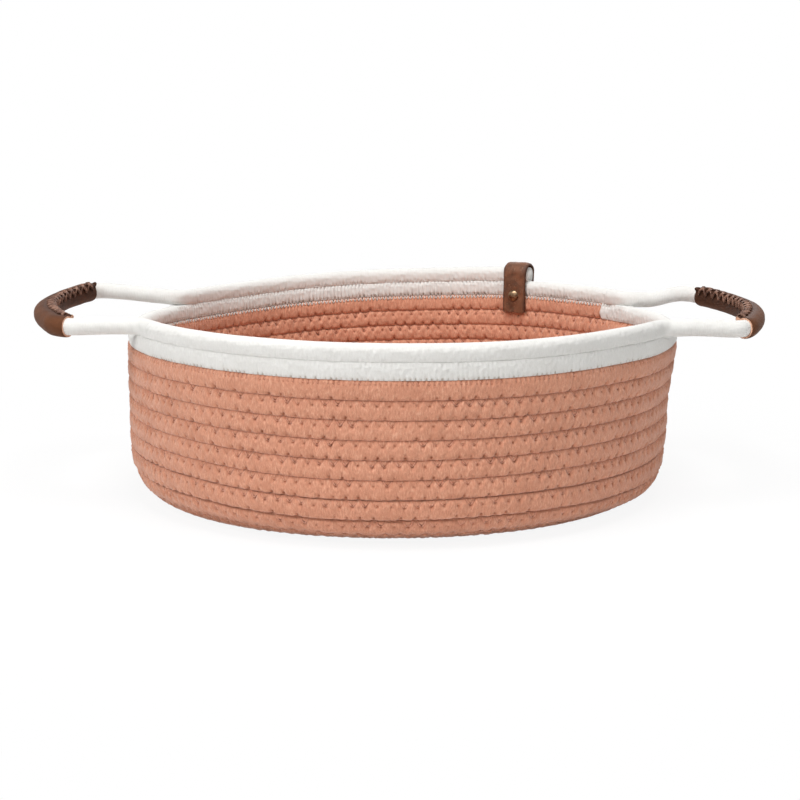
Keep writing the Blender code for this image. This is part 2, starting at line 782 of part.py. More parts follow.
def make_post_cutter(cutters):
    """A rod that clears the rivet's post through the tab and the ropes."""
    bpy.ops.mesh.primitive_cylinder_add(
        vertices=POST_HOLE_STEPS,
        radius=POST_HOLE_RADIUS,
        depth=2 * RIVET_SEAT + CUT_OVERRUN,
    )
    cutter = bpy.context.object
    cutter.name = "post_cutter"
    cutter.matrix_world = rivet_matrix(1)
    move_to(cutter, cutters)
    hide_cutter(cutter)
    return cutter


def hinge_empty(handle, collection):
    """An empty midway between the handle's two root tops, its X axis along the bending axis."""
    back, front = handle.hinge()
    axis = (front - back) * handle.side
    empty = bpy.data.objects.new(f"{handle.name}_handle_hinge", None)
    turned = axis.to_track_quat("X", "Z").to_matrix().to_4x4()
    empty.matrix_world = Matrix.Translation((back + front) / 2) @ turned
    collection.objects.link(empty)
    return empty


def hang_on(empty, pieces):
    """Parents the pieces to the empty where they stand."""
    bpy.context.view_layer.update()
    for piece in pieces:
        piece.parent = empty
        piece.matrix_parent_inverse = empty.matrix_world.inverted()


def make_handle(handle, parts, cutters, rope_material, leather, lace):
    """One handle's rope, sleeve and lacing, hung on its bending axis."""
    rope = make_handle_rope(handle, rope_material, parts)
    grip = make_grip(handle, leather, parts, cutters)
    lacing = make_lacing(handle, lace, parts)
    hang_on(hinge_empty(handle, parts), (rope, grip, lacing))


def main():
    clear_scene()
    parts = new_collection("storage_basket")
    cutters = new_collection("cutters")
    coral = new_material("coral_cotton", CORAL, 0.9)
    white = new_material("white_cotton", WHITE, 0.9)
    leather = new_material("brown_leather", BROWN_LEATHER, 0.5)
    lace = new_material("lace_leather", LACE_LEATHER, 0.55)
    bronze = new_material("bronze", BRONZE, 0.3, metallic=1.0)
    _, wall = make_coral_rope(parts, cutters, coral)
    lower_rope, _, _ = make_rim_ropes(parts, white)
    lower_rope = as_mesh(lower_rope, parts)
    tab = make_tab(parts, leather)
    make_rivet(parts, bronze)
    post_cutter = make_post_cutter(cutters)
    for item in (wall, lower_rope, tab):
        cut_away(item, post_cutter)
    right_back, right_front, left_front, left_back = root_runs()
    right_reaches = (RIGHT_BACK_REACH, RIGHT_FRONT_REACH)
    left_reaches = (LEFT_BACK_REACH, LEFT_FRONT_REACH)
    right = Handle("right", 1, right_back, right_front, right_reaches)
    left = Handle("left", -1, left_back, left_front, left_reaches)
    for handle in (right, left):
        make_handle(handle, parts, cutters, white, leather, lace)


main()
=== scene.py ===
"""How the storage basket looks: wound and sewn cotton rope, laced leather sleeves, a tab and a rivet.

Metres, +Z up, in the frame of the solid parts. The rope's places follow the same sizes as theirs.
Angles run from +X towards +Y; the rope winds clockwise as seen from above, and a wound angle of
zero is the place where its colour changes from coral to white.
"""

import math

import bpy
import numpy as np
from mathutils import Euler, Matrix, Vector


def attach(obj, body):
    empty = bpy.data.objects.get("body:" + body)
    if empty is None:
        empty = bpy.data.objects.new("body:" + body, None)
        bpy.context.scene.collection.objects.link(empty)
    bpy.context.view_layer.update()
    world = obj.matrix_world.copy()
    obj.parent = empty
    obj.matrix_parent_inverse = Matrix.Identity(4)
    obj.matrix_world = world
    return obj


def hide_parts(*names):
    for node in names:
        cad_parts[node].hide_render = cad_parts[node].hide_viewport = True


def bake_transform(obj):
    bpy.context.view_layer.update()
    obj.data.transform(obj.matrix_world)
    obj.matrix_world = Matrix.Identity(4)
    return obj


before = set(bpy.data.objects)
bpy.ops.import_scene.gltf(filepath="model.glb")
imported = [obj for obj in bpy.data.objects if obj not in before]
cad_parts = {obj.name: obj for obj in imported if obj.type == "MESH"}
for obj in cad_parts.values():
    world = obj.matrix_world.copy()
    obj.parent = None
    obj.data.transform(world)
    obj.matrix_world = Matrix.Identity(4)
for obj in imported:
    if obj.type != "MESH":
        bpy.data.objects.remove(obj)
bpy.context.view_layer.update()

# Sizes shared with the solid parts
BASKET_DIAMETER = 0.330
RIM_HEIGHT = 0.118
BASE_HEIGHT = 0.003364
CORAL_END_HEIGHT = 0.0945
CORNER_RADIUS = 0.0235
ROPE_DIAMETER = 0.0101
RIM_ROPE_DIAMETER = 0.0092
ROW_GAP = 0.00045
PART_GAP = 0.0003
TAB_ANGLE = math.radians(58.7)
CHANGE_SHORT_OF_ROOT = 0.0060
EASE_ANGLE = math.radians(30.0)
ROPE_END_PAST_TAB = 0.0084
HANDLE_HALF_SPAN = 0.0685
ROOT_BEND_RADIUS = 0.016
ROOT_STRAIGHT = 0.0060
LEATHER_THICKNESS = 0.0012
TAB_WIDTH = 0.0175
TAB_THICKNESS = 0.0022
TAB_FLAP_LENGTH = 0.0345
TAB_TOP_CLEARANCE = 0.0012
RIVET_CAP_DIAMETER = 0.0080
RIVET_CAP_HEIGHT = 0.0022
RIVET_BACK_HEIGHT = 0.0018
FULL_TURN = 2 * math.pi
QUARTER_TURN = math.pi / 2
ROOT_ANGLE_ROUNDS = 8

# Sizes that follow from those
ROPE_RADIUS = ROPE_DIAMETER / 2
RIM_ROPE_RADIUS = RIM_ROPE_DIAMETER / 2
ROW_PITCH = ROPE_DIAMETER + ROW_GAP
FIRST_RIM_STEP = ROPE_RADIUS + RIM_ROPE_RADIUS + ROW_GAP
NEXT_RIM_STEP = RIM_ROPE_DIAMETER + ROW_GAP
WALL_RADIUS = BASKET_DIAMETER / 2 - ROPE_RADIUS
FLAT_RADIUS = WALL_RADIUS - CORNER_RADIUS
CORNER_LENGTH = CORNER_RADIUS * QUARTER_TURN
CORAL_REACH = FLAT_RADIUS + CORNER_LENGTH + CORAL_END_HEIGHT - BASE_HEIGHT - CORNER_RADIUS
ROPE_END_ANGLE = TAB_ANGLE - ROPE_END_PAST_TAB / WALL_RADIUS

# The rope's section and its sewing. A face's depths are those of its points below the row's top
# edge and above its lower one.
CORAL_HALF_WIDTH = 0.00505
WHITE_HALF_WIDTH = 0.00465
WHITE_HALF_HEIGHT = NEXT_RIM_STEP / 2
SEWN_EDGE = (0.00085, 0.0017)
CROWN = 0.00036
ROWS_APART = PART_GAP / 20
ROUND_EDGE_FROM = 0.0025
ROUND_EDGE_EASE = 0.0015
THIN_ROPE = 0.003
LUMP_HEIGHT = 0.00012
INNER_PLACE = 0.05
EDGE_EASE = 0.05
ROOT_COVER = 0.14
UPPER_FACE_DEPTHS = (
    0.0, 0.00035, 0.0009, 0.0015, 0.0021, 0.0027, 0.0032, 0.0037, 0.0044, 0.005275,
)
LOWER_FACE_DEPTHS = (0.0, 0.00035, 0.0009, 0.0013, 0.0019, 0.0028, 0.0040)
HOLE_SIZE = 0.00070
HOLE_SINK = 0.0010
STITCH_SINK = 0.00090
GROOVE_SINK = 0.00045
GROOVE_SIZE = 0.00058
LOBE_SHARE = 0.22
LOBE_DROP = 0.26
ARM_START = 0.0006
ARM_EASE = 0.0009
RIB_SINK = 0.0006
RIB_LENGTH = 0.0050
INNER_RIBS = 2.5
# Painted shade of the sewing: the reach of the fine stitches' ticks, its strength in holes, grooves and
# dips between lobes, and the seam line's reach and strength
TICK_LENGTH = 0.0009
HOLE_SHADE = 0.90
GROOVE_SHADE = 0.75
DIP_SHADE = 0.08
SEAM_LINE_REACH = 0.00045
SEAM_LINE_SHADE = 0.20
FACE_SHIFT = 0.25
HOLE_WANDER = 0.16
DEPTH_WANDER = 0.28
UPPER_PULL = 0.90
LOWER_PULL = 0.65
PULL_WANDER = 0.90
FINE_PITCH = 0.005
COARSE_PITCH = 0.0068
UNDER_SEAM = -0.0018
THREAD_SINK_SHARE = 0.85
THREAD_SIDES = 5
WALL_STEP = 0.00058
BASE_STEP = 0.0013
HANDLE_STEP = 0.001
STRAND_RADIUS = 0.00500
ROOT_FLAT = 0.006
ROOT_MORPH = 0.020
ROOT_RISE = 0.030
COLOUR_CHANGE_RUN = -0.062
WHITE_TIGHTNESS = 0.35
START_SHARE = 0.55
HEART_RADIUS = 0.0105
HEART_HALF_HEIGHT = 0.0038
HEART_LUMPS = 0.0002

# Each handle's loop as it hangs: corners in plan on the right side, their radii, the heights of
# its back strand, back corner, apex, front corner and front strand, and its sleeve about the apex
ROOT_TURN_RADIUS = 0.0135
RIGHT_FIT = {
    "back": (0.1876, 0.0695),
    "apex": (0.2272, 0.0022),
    "front": (0.1986, -0.0660),
    "radii": (0.0157, 0.115, 0.0120),
    "heights": (0.1032, 0.1070, 0.1046, 0.1026, 0.1041),
    "grip": (0.0668, 0.0586),
}
LEFT_FIT = {
    "back": (0.1997, 0.0698),
    "apex": (0.2247, 0.0022),
    "front": (0.1953, -0.0660),
    "radii": (0.0142, 0.111, 0.0190),
    "heights": (0.1080, 0.1102, 0.1071, 0.1052, 0.1060),
    "grip": (0.0600, 0.0778),
}

# Kinds of seam: stitch pitch, depths of its lower and upper holes, how deep it marks and how strong its
# painted shade is
SEAM_KINDS = {
    "coral": (0.0068, 0.0032, 0.0014, 1.0, 1.0),
    "change": (0.0027, 0.0023, 0.0010, 0.60, 0.80),
    "white": (0.0026, 0.0015, 0.0012, 0.25, 0.07),
}

# How the soft basket has settled: millimetres at degrees round it, and ripples of the rows by their
# height, number and start. The wall bulges, with how far and the level's middle and spread, as an
# oval, to the right, to the left and at the left foot.
RIM_RISES = (
    (-151, -0.4), (-135, 0.2), (-118, 0.2), (-104, -1.1), (-90, -1.7), (-76, -1.7),
    (-61, -1.0), (-45, -0.8), (-29, -0.7), (0, -0.8), (29, -1.2), (38, 0.2), (50, 0.6),
    (66, 0.0), (78, -1.0), (90, -1.5), (113, -2.2), (130, -2.7), (141, -2.8), (151, -2.9),
    (165, -1.5), (180, -0.6),
)
FOOT_RISES = (
    (-150, 1.6), (-135, 2.1), (-118, 0.4), (-104, -1.5), (-90, -1.5), (-76, -0.2),
    (-61, 0.4), (-45, -0.8), (0, 0.0), (60, 0.0), (120, 0.0), (180, 0.8),
)
RIM_SWELLS = (
    (-150, 0.6), (-120, 0.0), (-90, 0.0), (-50, 0.5), (-25, 3.8), (0, 5.2), (25, 3.4),
    (50, 0.4), (90, 0.0), (130, 0.0), (180, -0.3),
)
SETTLE_SPREAD = 11.0
RIPPLES = ((0.0003, 4, 1.3), (0.0002, 7, 0.4))
WALL_BULGES = ((0.0008, 0.62, 0.20), (0.0012, 0.33, 0.10), (0.0006, 0.33, 0.09), (-0.0020, 0.10, 0.06))
WALL_WAVE = 0.0004
RIGHT_LEAN = 0.0275
FOOT_FULLNESS = 0.0022
FRONT_FOOT_RISE = 0.0020
FOOT_TURN = 0.12
Z_AXIS = np.array([0.0, 0.0, 1.0])


# Small helpers

def eased(share):
    """0 to 1 with level ends, held beyond them."""
    share = np.clip(share, 0.0, 1.0)
    return share * share * (3 - 2 * share)


def bell(value, spread):
    """1 in the middle and nearly 0 two spreads away."""
    return np.exp(-((value / spread) ** 2))


def unit(vectors):
    """The vectors at length one."""
    return vectors / np.linalg.norm(vectors, axis=-1, keepdims=True)


def scatter(index, seed):
    """A number from -0.5 to 0.5 that looks random, the same each time for an index and seed."""
    value = np.sin(np.asarray(index) * 12.9898 + seed * 78.233) * 43758.5453
    return value - np.floor(value) - 0.5


def waves(u, v, seed, shortest, longest, count=7):
    """Smooth uneven values of about -1 to 1 over a surface, from a few crossing waves."""
    random = np.random.default_rng(seed)
    total = np.zeros(np.broadcast(u, v).shape)
    for _ in range(count):
        length = shortest * (longest / shortest) ** random.random()
        heading = random.random() * FULL_TURN
        phase = random.random() * FULL_TURN
        total += np.sin(FULL_TURN * (u * math.cos(heading) + v * math.sin(heading)) / length + phase)
    return total / math.sqrt(count)


def lengths_along(points):
    """Distance along a line of points from its first."""
    return np.concatenate([[0.0], np.cumsum(np.linalg.norm(np.diff(points, axis=0), axis=1))])


def rope_place(along, around, through=0.0):
    """Places along, round and through a rope or a sheet, which its material follows."""
    return np.stack(np.broadcast_arrays(along, around, through), axis=-1)


def turned(reach, height, turn):
    """Points at some reach and height, turned about Z."""
    return np.stack(np.broadcast_arrays(reach * np.cos(turn), reach * np.sin(turn), height), axis=-1)


# The rope's places

def handle_root_angle():
    """Angle from +X or -X at which the rope leaves the rim to bend into a handle's strand."""
    angle = math.asin(HANDLE_HALF_SPAN / WALL_RADIUS)
    for _ in range(ROOT_ANGLE_ROUNDS):
        half_bend = (QUARTER_TURN - angle) / 2
        run = ROOT_BEND_RADIUS * math.tan(half_bend) + ROOT_STRAIGHT
        angle = math.asin((HANDLE_HALF_SPAN + run * math.cos(angle)) / WALL_RADIUS)
    return angle


HANDLE_ROOT_ANGLE = handle_root_angle()
COLOUR_CHANGE_ANGLE = HANDLE_ROOT_ANGLE - CHANGE_SHORT_OF_ROOT / WALL_RADIUS


def coral_reach(run):
    """The coral rope's distance from the middle of the base, along base and wall."""
    sway = np.cos(COLOUR_CHANGE_ANGLE - run) - math.cos(COLOUR_CHANGE_ANGLE)
    return CORAL_REACH + ROW_PITCH * (run + sway) / FULL_TURN


def first_white_reach(run):
    """The same for the white rope's first lap, which settles closer to the row below it."""
    return coral_reach(run) - (ROW_PITCH - FIRST_RIM_STEP) * eased(run / EASE_ANGLE)


def rope_reach(run):
    """The same for the whole rope, coral and white."""
    past = run - FULL_TURN
    step = NEXT_RIM_STEP + (FIRST_RIM_STEP - NEXT_RIM_STEP) * (1 - eased(past / EASE_ANGLE))
    second = first_white_reach(past) + step
    white = np.where(run <= FULL_TURN, first_white_reach(run), second)
    return np.where(run <= 0, coral_reach(run), white)


def rope_line(run):
    """Centre of the rope, and the directions out of the basket and along its profile."""
    reach = rope_reach(run)
    slope = np.clip((reach - FLAT_RADIUS) / CORNER_RADIUS, 0, QUARTER_TURN)
    past_corner = np.maximum(reach - FLAT_RADIUS - CORNER_LENGTH, 0)
    radius = np.minimum(reach, FLAT_RADIUS) + CORNER_RADIUS * np.sin(slope)
    height = BASE_HEIGHT + CORNER_RADIUS * (1 - np.cos(slope)) + past_corner
    angle = COLOUR_CHANGE_ANGLE - run
    radial = np.stack([np.cos(angle), np.sin(angle), np.zeros_like(angle)], axis=-1)
    slope = slope[..., None]
    centre = radial * radius[..., None] + Z_AXIS * height[..., None]
    out = radial * np.sin(slope) - Z_AXIS * np.cos(slope)
    along_profile = radial * np.cos(slope) + Z_AXIS * np.sin(slope)
    return centre, out, along_profile


def run_down_to(reach, step):
    """The wound angle, in whole steps, at which the coil has come in to a reach."""
    run = 0.0
    while coral_reach(run) > reach:
        run -= step
    return run


COIL_START = run_down_to(ROW_PITCH * START_SHARE, QUARTER_TURN / 8)
TABLE_RUNS = np.linspace(COIL_START - FULL_TURN, 2 * FULL_TURN, 40001)
TABLE_LENGTHS = lengths_along(rope_line(TABLE_RUNS)[0])
TABLE_LENGTHS -= np.interp(0.0, TABLE_RUNS, TABLE_LENGTHS)


def length_at(run):
    """Length of rope from the colour change to a wound angle."""
    return np.interp(run, TABLE_RUNS, TABLE_LENGTHS)


def run_at(length):
    """Wound angle at a length of rope from the colour change."""
    return np.interp(length, TABLE_LENGTHS, TABLE_RUNS)


def rim_run(angle, lap):
    """Wound angle of the white rope at an angle round the rim on its first or second lap."""
    return (COLOUR_CHANGE_ANGLE - angle) % FULL_TURN + lap * FULL_TURN


RIGHT_BACK_RUN = rim_run(HANDLE_ROOT_ANGLE, 0)
RIGHT_FRONT_RUN = rim_run(-HANDLE_ROOT_ANGLE, 1)
LEFT_FRONT_RUN = rim_run(math.pi + HANDLE_ROOT_ANGLE, 1)
LEFT_BACK_RUN = rim_run(math.pi - HANDLE_ROOT_ANGLE, 1)
ROPE_END_RUN = rim_run(ROPE_END_ANGLE, 1)


def row_above(run):
    """1 where another row is sewn on top of the rope at this wound angle, else 0, easily joined."""
    above = run + FULL_TURN
    stretches = (
        (-1e3, RIGHT_BACK_RUN + ROOT_COVER),
        (RIGHT_FRONT_RUN - ROOT_COVER, LEFT_FRONT_RUN + ROOT_COVER),
        (LEFT_BACK_RUN - ROOT_COVER, ROPE_END_RUN),
    )
    return sum(
        eased((above - first) / EDGE_EASE + 0.5) * eased((last - above) / EDGE_EASE + 0.5)
        for first, last in stretches
    )


def seam_kind(run):
    """Pitch, hole depths and strengths of the seam on top of the rope at a wound angle."""
    coral, change, white = [np.array(SEAM_KINDS[kind]) for kind in ("coral", "change", "white")]
    run = np.asarray(run)[..., None]
    values = np.where(run < -FULL_TURN, coral, np.where(run < 0, change, white))
    return np.moveaxis(values, -1, 0)


# Shape of one row with its sewing

def half_width(run):
    """Half of the row's width across the wall."""
    share = eased(1 - run / COLOUR_CHANGE_RUN)
    return WHITE_HALF_WIDTH + (CORAL_HALF_WIDTH - WHITE_HALF_WIDTH) * (1 - share)


def half_height(run):
    """Half of the row's height along the wall, so that the rows touch."""
    closer = (ROW_PITCH / 2 - WHITE_HALF_HEIGHT) * eased(run / EASE_ANGLE)
    return ROW_PITCH / 2 - closer - ROWS_APART


def section_width(share, width, height, lower_edge, upper_edge):
    """Half width of a row at a share of its half height: a crowned slab with rounded edges."""
    across, tall = [np.where(share < 0, *pair) for pair in zip(lower_edge, upper_edge)]
    into_edge = np.clip(1 - (1 - np.abs(share)) * height / tall, 0, 1)
    rounded = 1 - np.sqrt(1 - into_edge**2)
    pointed = into_edge**2
    free = eased((tall - ROUND_EDGE_FROM) / ROUND_EDGE_EASE)
    return width - CROWN * share**2 - across * (pointed + (rounded - pointed) * free)


def row_edges(run):
    """Across and up, how far the rounding of the row's lower and upper edges reaches."""
    covered = row_above(run)
    width = half_width(run) - CROWN
    height = half_height(run)
    tight = np.where(run > COLOUR_CHANGE_RUN, WHITE_TIGHTNESS, 1.0)
    sewn = [SEWN_EDGE[0] * tight, np.full_like(covered, SEWN_EDGE[1])]
    upper = [size * covered + free * (1 - covered) for size, free in zip(sewn, (width, height))]
    return sewn, upper


def stitches(run, side, pitch, shift):
    """Distance along a seam from its nearest hole, with that hole's number."""
    place = length_at(run) / pitch + FACE_SHIFT * side - shift
    number = np.round(place)
    return (place - number - scatter(number, 1 + side) * HOLE_WANDER) * pitch, number


def seam_relief(beside, under, hole_depth, rise, pitch, one_armed):
    """How far one row is drawn in by a seam's stitches, and the shade painted there.

    Each hole's two threads rise apart to the seam, so the rope swells in lobes between the holes.
    The white rope's fine stitches draw it into short ribs instead, each with a tick of painted shade.
    """
    fine = pitch < FINE_PITCH
    size = HOLE_SIZE * np.minimum(1, pitch / FINE_PITCH)
    hole = np.exp(-((beside**2 + (under - hole_depth) ** 2) / size**2))
    reach = np.maximum(pitch / 2 * (hole_depth - under) / rise, 0)
    past = np.maximum(np.abs(beside) - reach, 0)
    dip = bell(past, LOBE_SHARE * pitch) * bell(np.maximum(under - hole_depth, 0), LOBE_DROP * pitch)
    off_thread = (beside if one_armed else np.abs(beside)) - reach
    on_arm = eased((hole_depth - under + ARM_START) / ARM_EASE)
    groove = bell(off_thread, GROOVE_SIZE) * on_arm
    share = np.minimum(1, pitch / COARSE_PITCH)
    at_hole = np.cos(math.pi * beside / pitch)
    sink = HOLE_SINK * hole + (STITCH_SINK * dip + GROOVE_SINK * groove) * share
    sink = sink + RIB_SINK * at_hole**2 * bell(under, RIB_LENGTH) * fine
    near_hole = 0.25 + 0.75 * np.clip(under / hole_depth, 0, 1)
    tick = at_hole**6 * bell(under, TICK_LENGTH) * fine
    # The darkness returned is painted shade: in the holes, along the grooves by the threads, in the dips
    # between lobes and in the fine ticks
    return sink, HOLE_SHADE * hole + GROOVE_SHADE * groove * near_hole + DIP_SHADE * dip + tick


def row_relief(run, share, side):
    """Sink of the row's face and its painted shade, from the sewing above and below it."""
    height = half_height(run)[:, None]
    sewn_below = (run > COIL_START + FULL_TURN).astype(float)
    sink = np.zeros((len(run), len(share)))
    dark = np.zeros(sink.shape)
    for seam_run, mask, under, shift, pull in (
        (run, row_above(run), (1 - share) * height, 0.0, UPPER_PULL),
        (run - FULL_TURN, sewn_below, (1 + share) * height, 0.5, LOWER_PULL),
    ):
        pitch, lower, upper, deep, shade_strength = seam_kind(seam_run)
        beside, number = stitches(seam_run, side, pitch, shift)
        if side < 0:
            deep = deep * np.where(pitch < FINE_PITCH, INNER_RIBS, 1)
        mean_depth = upper if shift else lower
        depth = mean_depth * (1 + scatter(number, 5 + side) * DEPTH_WANDER)
        tension = np.clip(pull + scatter(number, 9 + side) * PULL_WANDER, 0.2, 1.2)
        more, stitch_shade = seam_relief(
            beside[:, None], under, depth[:, None], (lower + upper)[:, None], pitch[:, None], shift > 0
        )
        # Painted shade along the seam line between the rows
        line = bell(under, SEAM_LINE_REACH) * SEAM_LINE_SHADE
        sink += more * (mask * deep * tension)[:, None]
        dark += (stitch_shade * tension[:, None] + line) * (mask * shade_strength)[:, None]
    return sink, np.clip(dark, 0, 1)


def section_shares():
    """Heights of the points on a face, as shares of half the row's height, from low to high."""
    upper = [1 - depth / (ROW_PITCH / 2) for depth in UPPER_FACE_DEPTHS]
    lower = [depth / (ROW_PITCH / 2) - 1 for depth in LOWER_FACE_DEPTHS]
    return np.array(lower + upper[::-1])


FACE_SHARES = section_shares()


def both_faces(outer, inner):
    """One row for each ring: the outer face from low to high, then the inner from high to low."""
    return np.concatenate([outer, inner[:, ::-1]], axis=1)


def section_rings(centre, out, up, depths, heights):
    """Rings of points round a rope, from the depths of its outer and inner faces at some heights."""
    faces = [
        centre[:, None] + out[:, None] * (side * depth)[..., None] + up[:, None] * heights[..., None]
        for side, depth in zip((1, -1), depths)
    ]
    return both_faces(*faces)


def row_rings(run):
    """Rings of points round the row at each wound angle, with its painted shade and the place round it.
    """
    height = half_height(run)[:, None]
    heights = FACE_SHARES * height
    edges = [[size[:, None] for size in edge] for edge in row_edges(run)]
    shape = section_width(FACE_SHARES[None, :], half_width(run)[:, None], height, *edges)
    depths = []
    shades = []
    for side in (1, -1):
        sink, dark = row_relief(run, FACE_SHARES, side)
        lumps = waves(length_at(run)[:, None], heights + 0.03 * side, 3, 0.0020, 0.007) * LUMP_HEIGHT
        depths.append(np.maximum(shape - (sink - lumps) * np.minimum(shape / THIN_ROPE, 1), 0))
        shades.append(dark)
    rings = section_rings(*rope_line(run), depths, heights)
    return rings, both_faces(*shades), both_faces(heights, heights + INNER_PLACE)


def round_table(angle, table):
    """Smooth value at angles round the basket, from millimetres given at degrees."""
    places, values = np.array(table).T
    apart = (np.degrees(angle)[..., None] - places + 180) % 360 - 180
    weights = bell(apart, SETTLE_SPREAD) + 1e-9
    return (weights @ values) / weights.sum(axis=-1) / 1000


ROUND_ANGLES = np.radians(np.arange(-180, 181))
RIM_RISE = round_table(ROUND_ANGLES, RIM_RISES)
FOOT_RISE = round_table(ROUND_ANGLES, FOOT_RISES)
RIM_SWELL = round_table(ROUND_ANGLES, RIM_SWELLS)


def wall_bulge(angle, level):
    """How far the soft wall bulges out at an angle and a share of the rim's height."""
    right, left = np.maximum(np.cos(angle), 0) ** 2, np.maximum(-np.cos(angle), 0) ** 2
    bulge = WALL_WAVE * np.sin(5 * angle + 2.1 - 2.0 * level)
    for share, (most, middle, spread) in zip((np.cos(2 * angle), right, left, left**3), WALL_BULGES):
        bulge = bulge + most * share * bell(level - middle, spread)
    return bulge


def settle(points):
    """Moves points as the soft basket has settled: rows rise and dip, the wall swells and leans."""
    points = np.array(points, dtype=float)
    x, y, z = points[..., 0], points[..., 1], points[..., 2]
    angle = np.arctan2(y, x)
    radius = np.maximum(np.hypot(x, y), 0.001)
    level = np.clip(z / RIM_HEIGHT, 0, 1)
    near_wall = eased((radius - 0.05) / 0.08) * (1 - eased((radius - 0.158) / 0.035))
    rim_rise = np.interp(angle, ROUND_ANGLES, RIM_RISE)
    foot_rise = np.interp(angle, ROUND_ANGLES, FOOT_RISE)
    rise = foot_rise + (rim_rise - foot_rise) * eased(level)
    ripple = sum(most * np.sin(count * angle + start) for most, count, start in RIPPLES)
    off_floor = eased(z / 0.012)
    slope = np.arccos(np.clip(1 - z / CORNER_RADIUS, 0, 1))
    full = FOOT_FULLNESS * np.sin(2 * slope) * np.cos(angle) ** 2 * near_wall
    front = np.maximum(-np.sin(angle - FOOT_TURN), 0) ** 4 * bell(z, 0.006)
    front = front * eased((radius - 0.08) / 0.05)
    swell = np.interp(angle, ROUND_ANGLES, RIM_SWELL) * eased((level - 0.38) / 0.5)
    ratio = 1 + ((swell + wall_bulge(angle, level)) * near_wall + full) / radius
    lean = RIGHT_LEAN * (1 - level) * eased((x - 0.01) / 0.12)
    lift = (rise + ripple) * off_floor * near_wall - full * 0.8 * off_floor + FRONT_FOOT_RISE * front
    points[..., 0] = x * ratio * (1 - lean)
    points[..., 1] = y * ratio
    points[..., 2] = np.maximum(z + lift, 0.0)
    return points


# Meshes

def grid_faces(rings, sides, first=0):
    """Quads between rings of points, and a cap at each end."""
    index = np.arange(rings * sides).reshape(rings, sides) + first
    after = np.roll(index, -1, axis=1)
    quads = np.stack([index[:-1], after[:-1], after[1:], index[1:]], axis=-1).reshape(-1, 4)
    return quads.tolist() + [index[0][::-1].tolist(), index[-1].tolist()]


def add_object(name, data):
    """A new object in the scene."""
    made = bpy.data.objects.new(name, data)
    bpy.context.scene.collection.objects.link(made)
    return made


def make_mesh(name, points, material, place=None, dark=0.0, faces=None):
    """A smooth mesh of the settled points, with the places and the darkness that materials read: painted
    shade on rope and sleeve, wear on the tab.
    """
    mesh = bpy.data.meshes.new(name)
    faces = faces or grid_faces(*points.shape[:2])
    mesh.from_pydata(settle(points).reshape(-1, 3).tolist(), [], faces)
    mesh.shade_smooth()
    mesh.materials.append(material)
    if place is not None:
        dark = np.broadcast_to(dark, place.shape[:-1])
        kinds = (("rope", "FLOAT_VECTOR", "vector", place), ("dark", "FLOAT", "value", dark))
        for attribute, kind, key, values in kinds:
            layer = mesh.attributes.new(attribute, kind, "POINT")
            layer.data.foreach_set(key, np.asarray(values, dtype=np.float32).ravel())
    return add_object(name, mesh)


def pale_ends(piece, material, smooth=False):
    """Gives a piece's two end caps a material of their own."""
    piece.data.materials.append(material)
    for face in list(piece.data.polygons)[-2:]:
        face.material_index = 1
        face.use_smooth = smooth


def finish_piece(piece, body, slot, *nodes):
    """Puts the piece on its body and hides the solids that it stands for; the slot is not used."""
    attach(piece, body)
    if nodes:
        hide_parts(*nodes)
    return piece


def steps_between(first, last, step):
    """Wound angles from first to last at an even length of rope apart."""
    start, end = length_at(first), length_at(last)
    count = max(2, int(round((end - start) / step)) + 1)
    return run_at(np.linspace(start, end, count))


def make_row(name, first, last, step, material):
    """One stretch of wound rope as a mesh."""
    run = steps_between(first, last, step)
    rings, dark, around = row_rings(run)
    return make_mesh(name, rings, material, rope_place(length_at(run)[:, None], around), dark)


def tube(points, out, radius, sides, flat=1.0):
    """Rings round a line; out gives the way its flat side faces, and flat its thinness there."""
    along = unit(np.gradient(points, axis=0))
    across = unit(np.cross(along, out))
    facing = np.cross(across, along)
    angle = np.arange(sides) * FULL_TURN / sides
    ring = across[:, None] * np.cos(angle)[None, :, None]
    ring = ring + facing[:, None] * (np.sin(angle) * flat)[None, :, None]
    return points[:, None] + ring * radius


def joined(tubes):
    """Points and faces of several tubes as one mesh."""
    faces = []
    count = 0
    for rings in tubes:
        faces += grid_faces(*rings.shape[:2], count)
        count += rings.shape[0] * rings.shape[1]
    return np.concatenate([rings.reshape(-1, 3) for rings in tubes]), faces


def make_heart(material):
    """The rope's tucked-in start, which closes the middle of the base."""
    tilt = np.linspace(-1.5, 1.5, 15)[:, None]
    turn = np.linspace(0, FULL_TURN, 40, endpoint=False)[None, :]
    around = turn * HEART_RADIUS
    lumps = waves(around, tilt * 0.004, 41, 0.004, 0.012) * HEART_LUMPS
    height = BASE_HEIGHT + HEART_HALF_HEIGHT * np.sin(tilt)
    rings = turned(HEART_RADIUS * np.cos(tilt) + lumps, height, turn)
    return make_mesh("base_heart", rings, material, rope_place(tilt * HEART_HALF_HEIGHT, around))


# Sewing thread

def face_point(run, share, side, lift):
    """A point on the outer (1) or inner (-1) face of the row at a wound angle, lifted off it."""
    centre, out, up = rope_line(run)
    depth = section_width(share, half_width(run), half_height(run), *row_edges(run)) + lift
    return centre + out * (side * depth)[:, None] + up * (share * half_height(run))[:, None], out * side


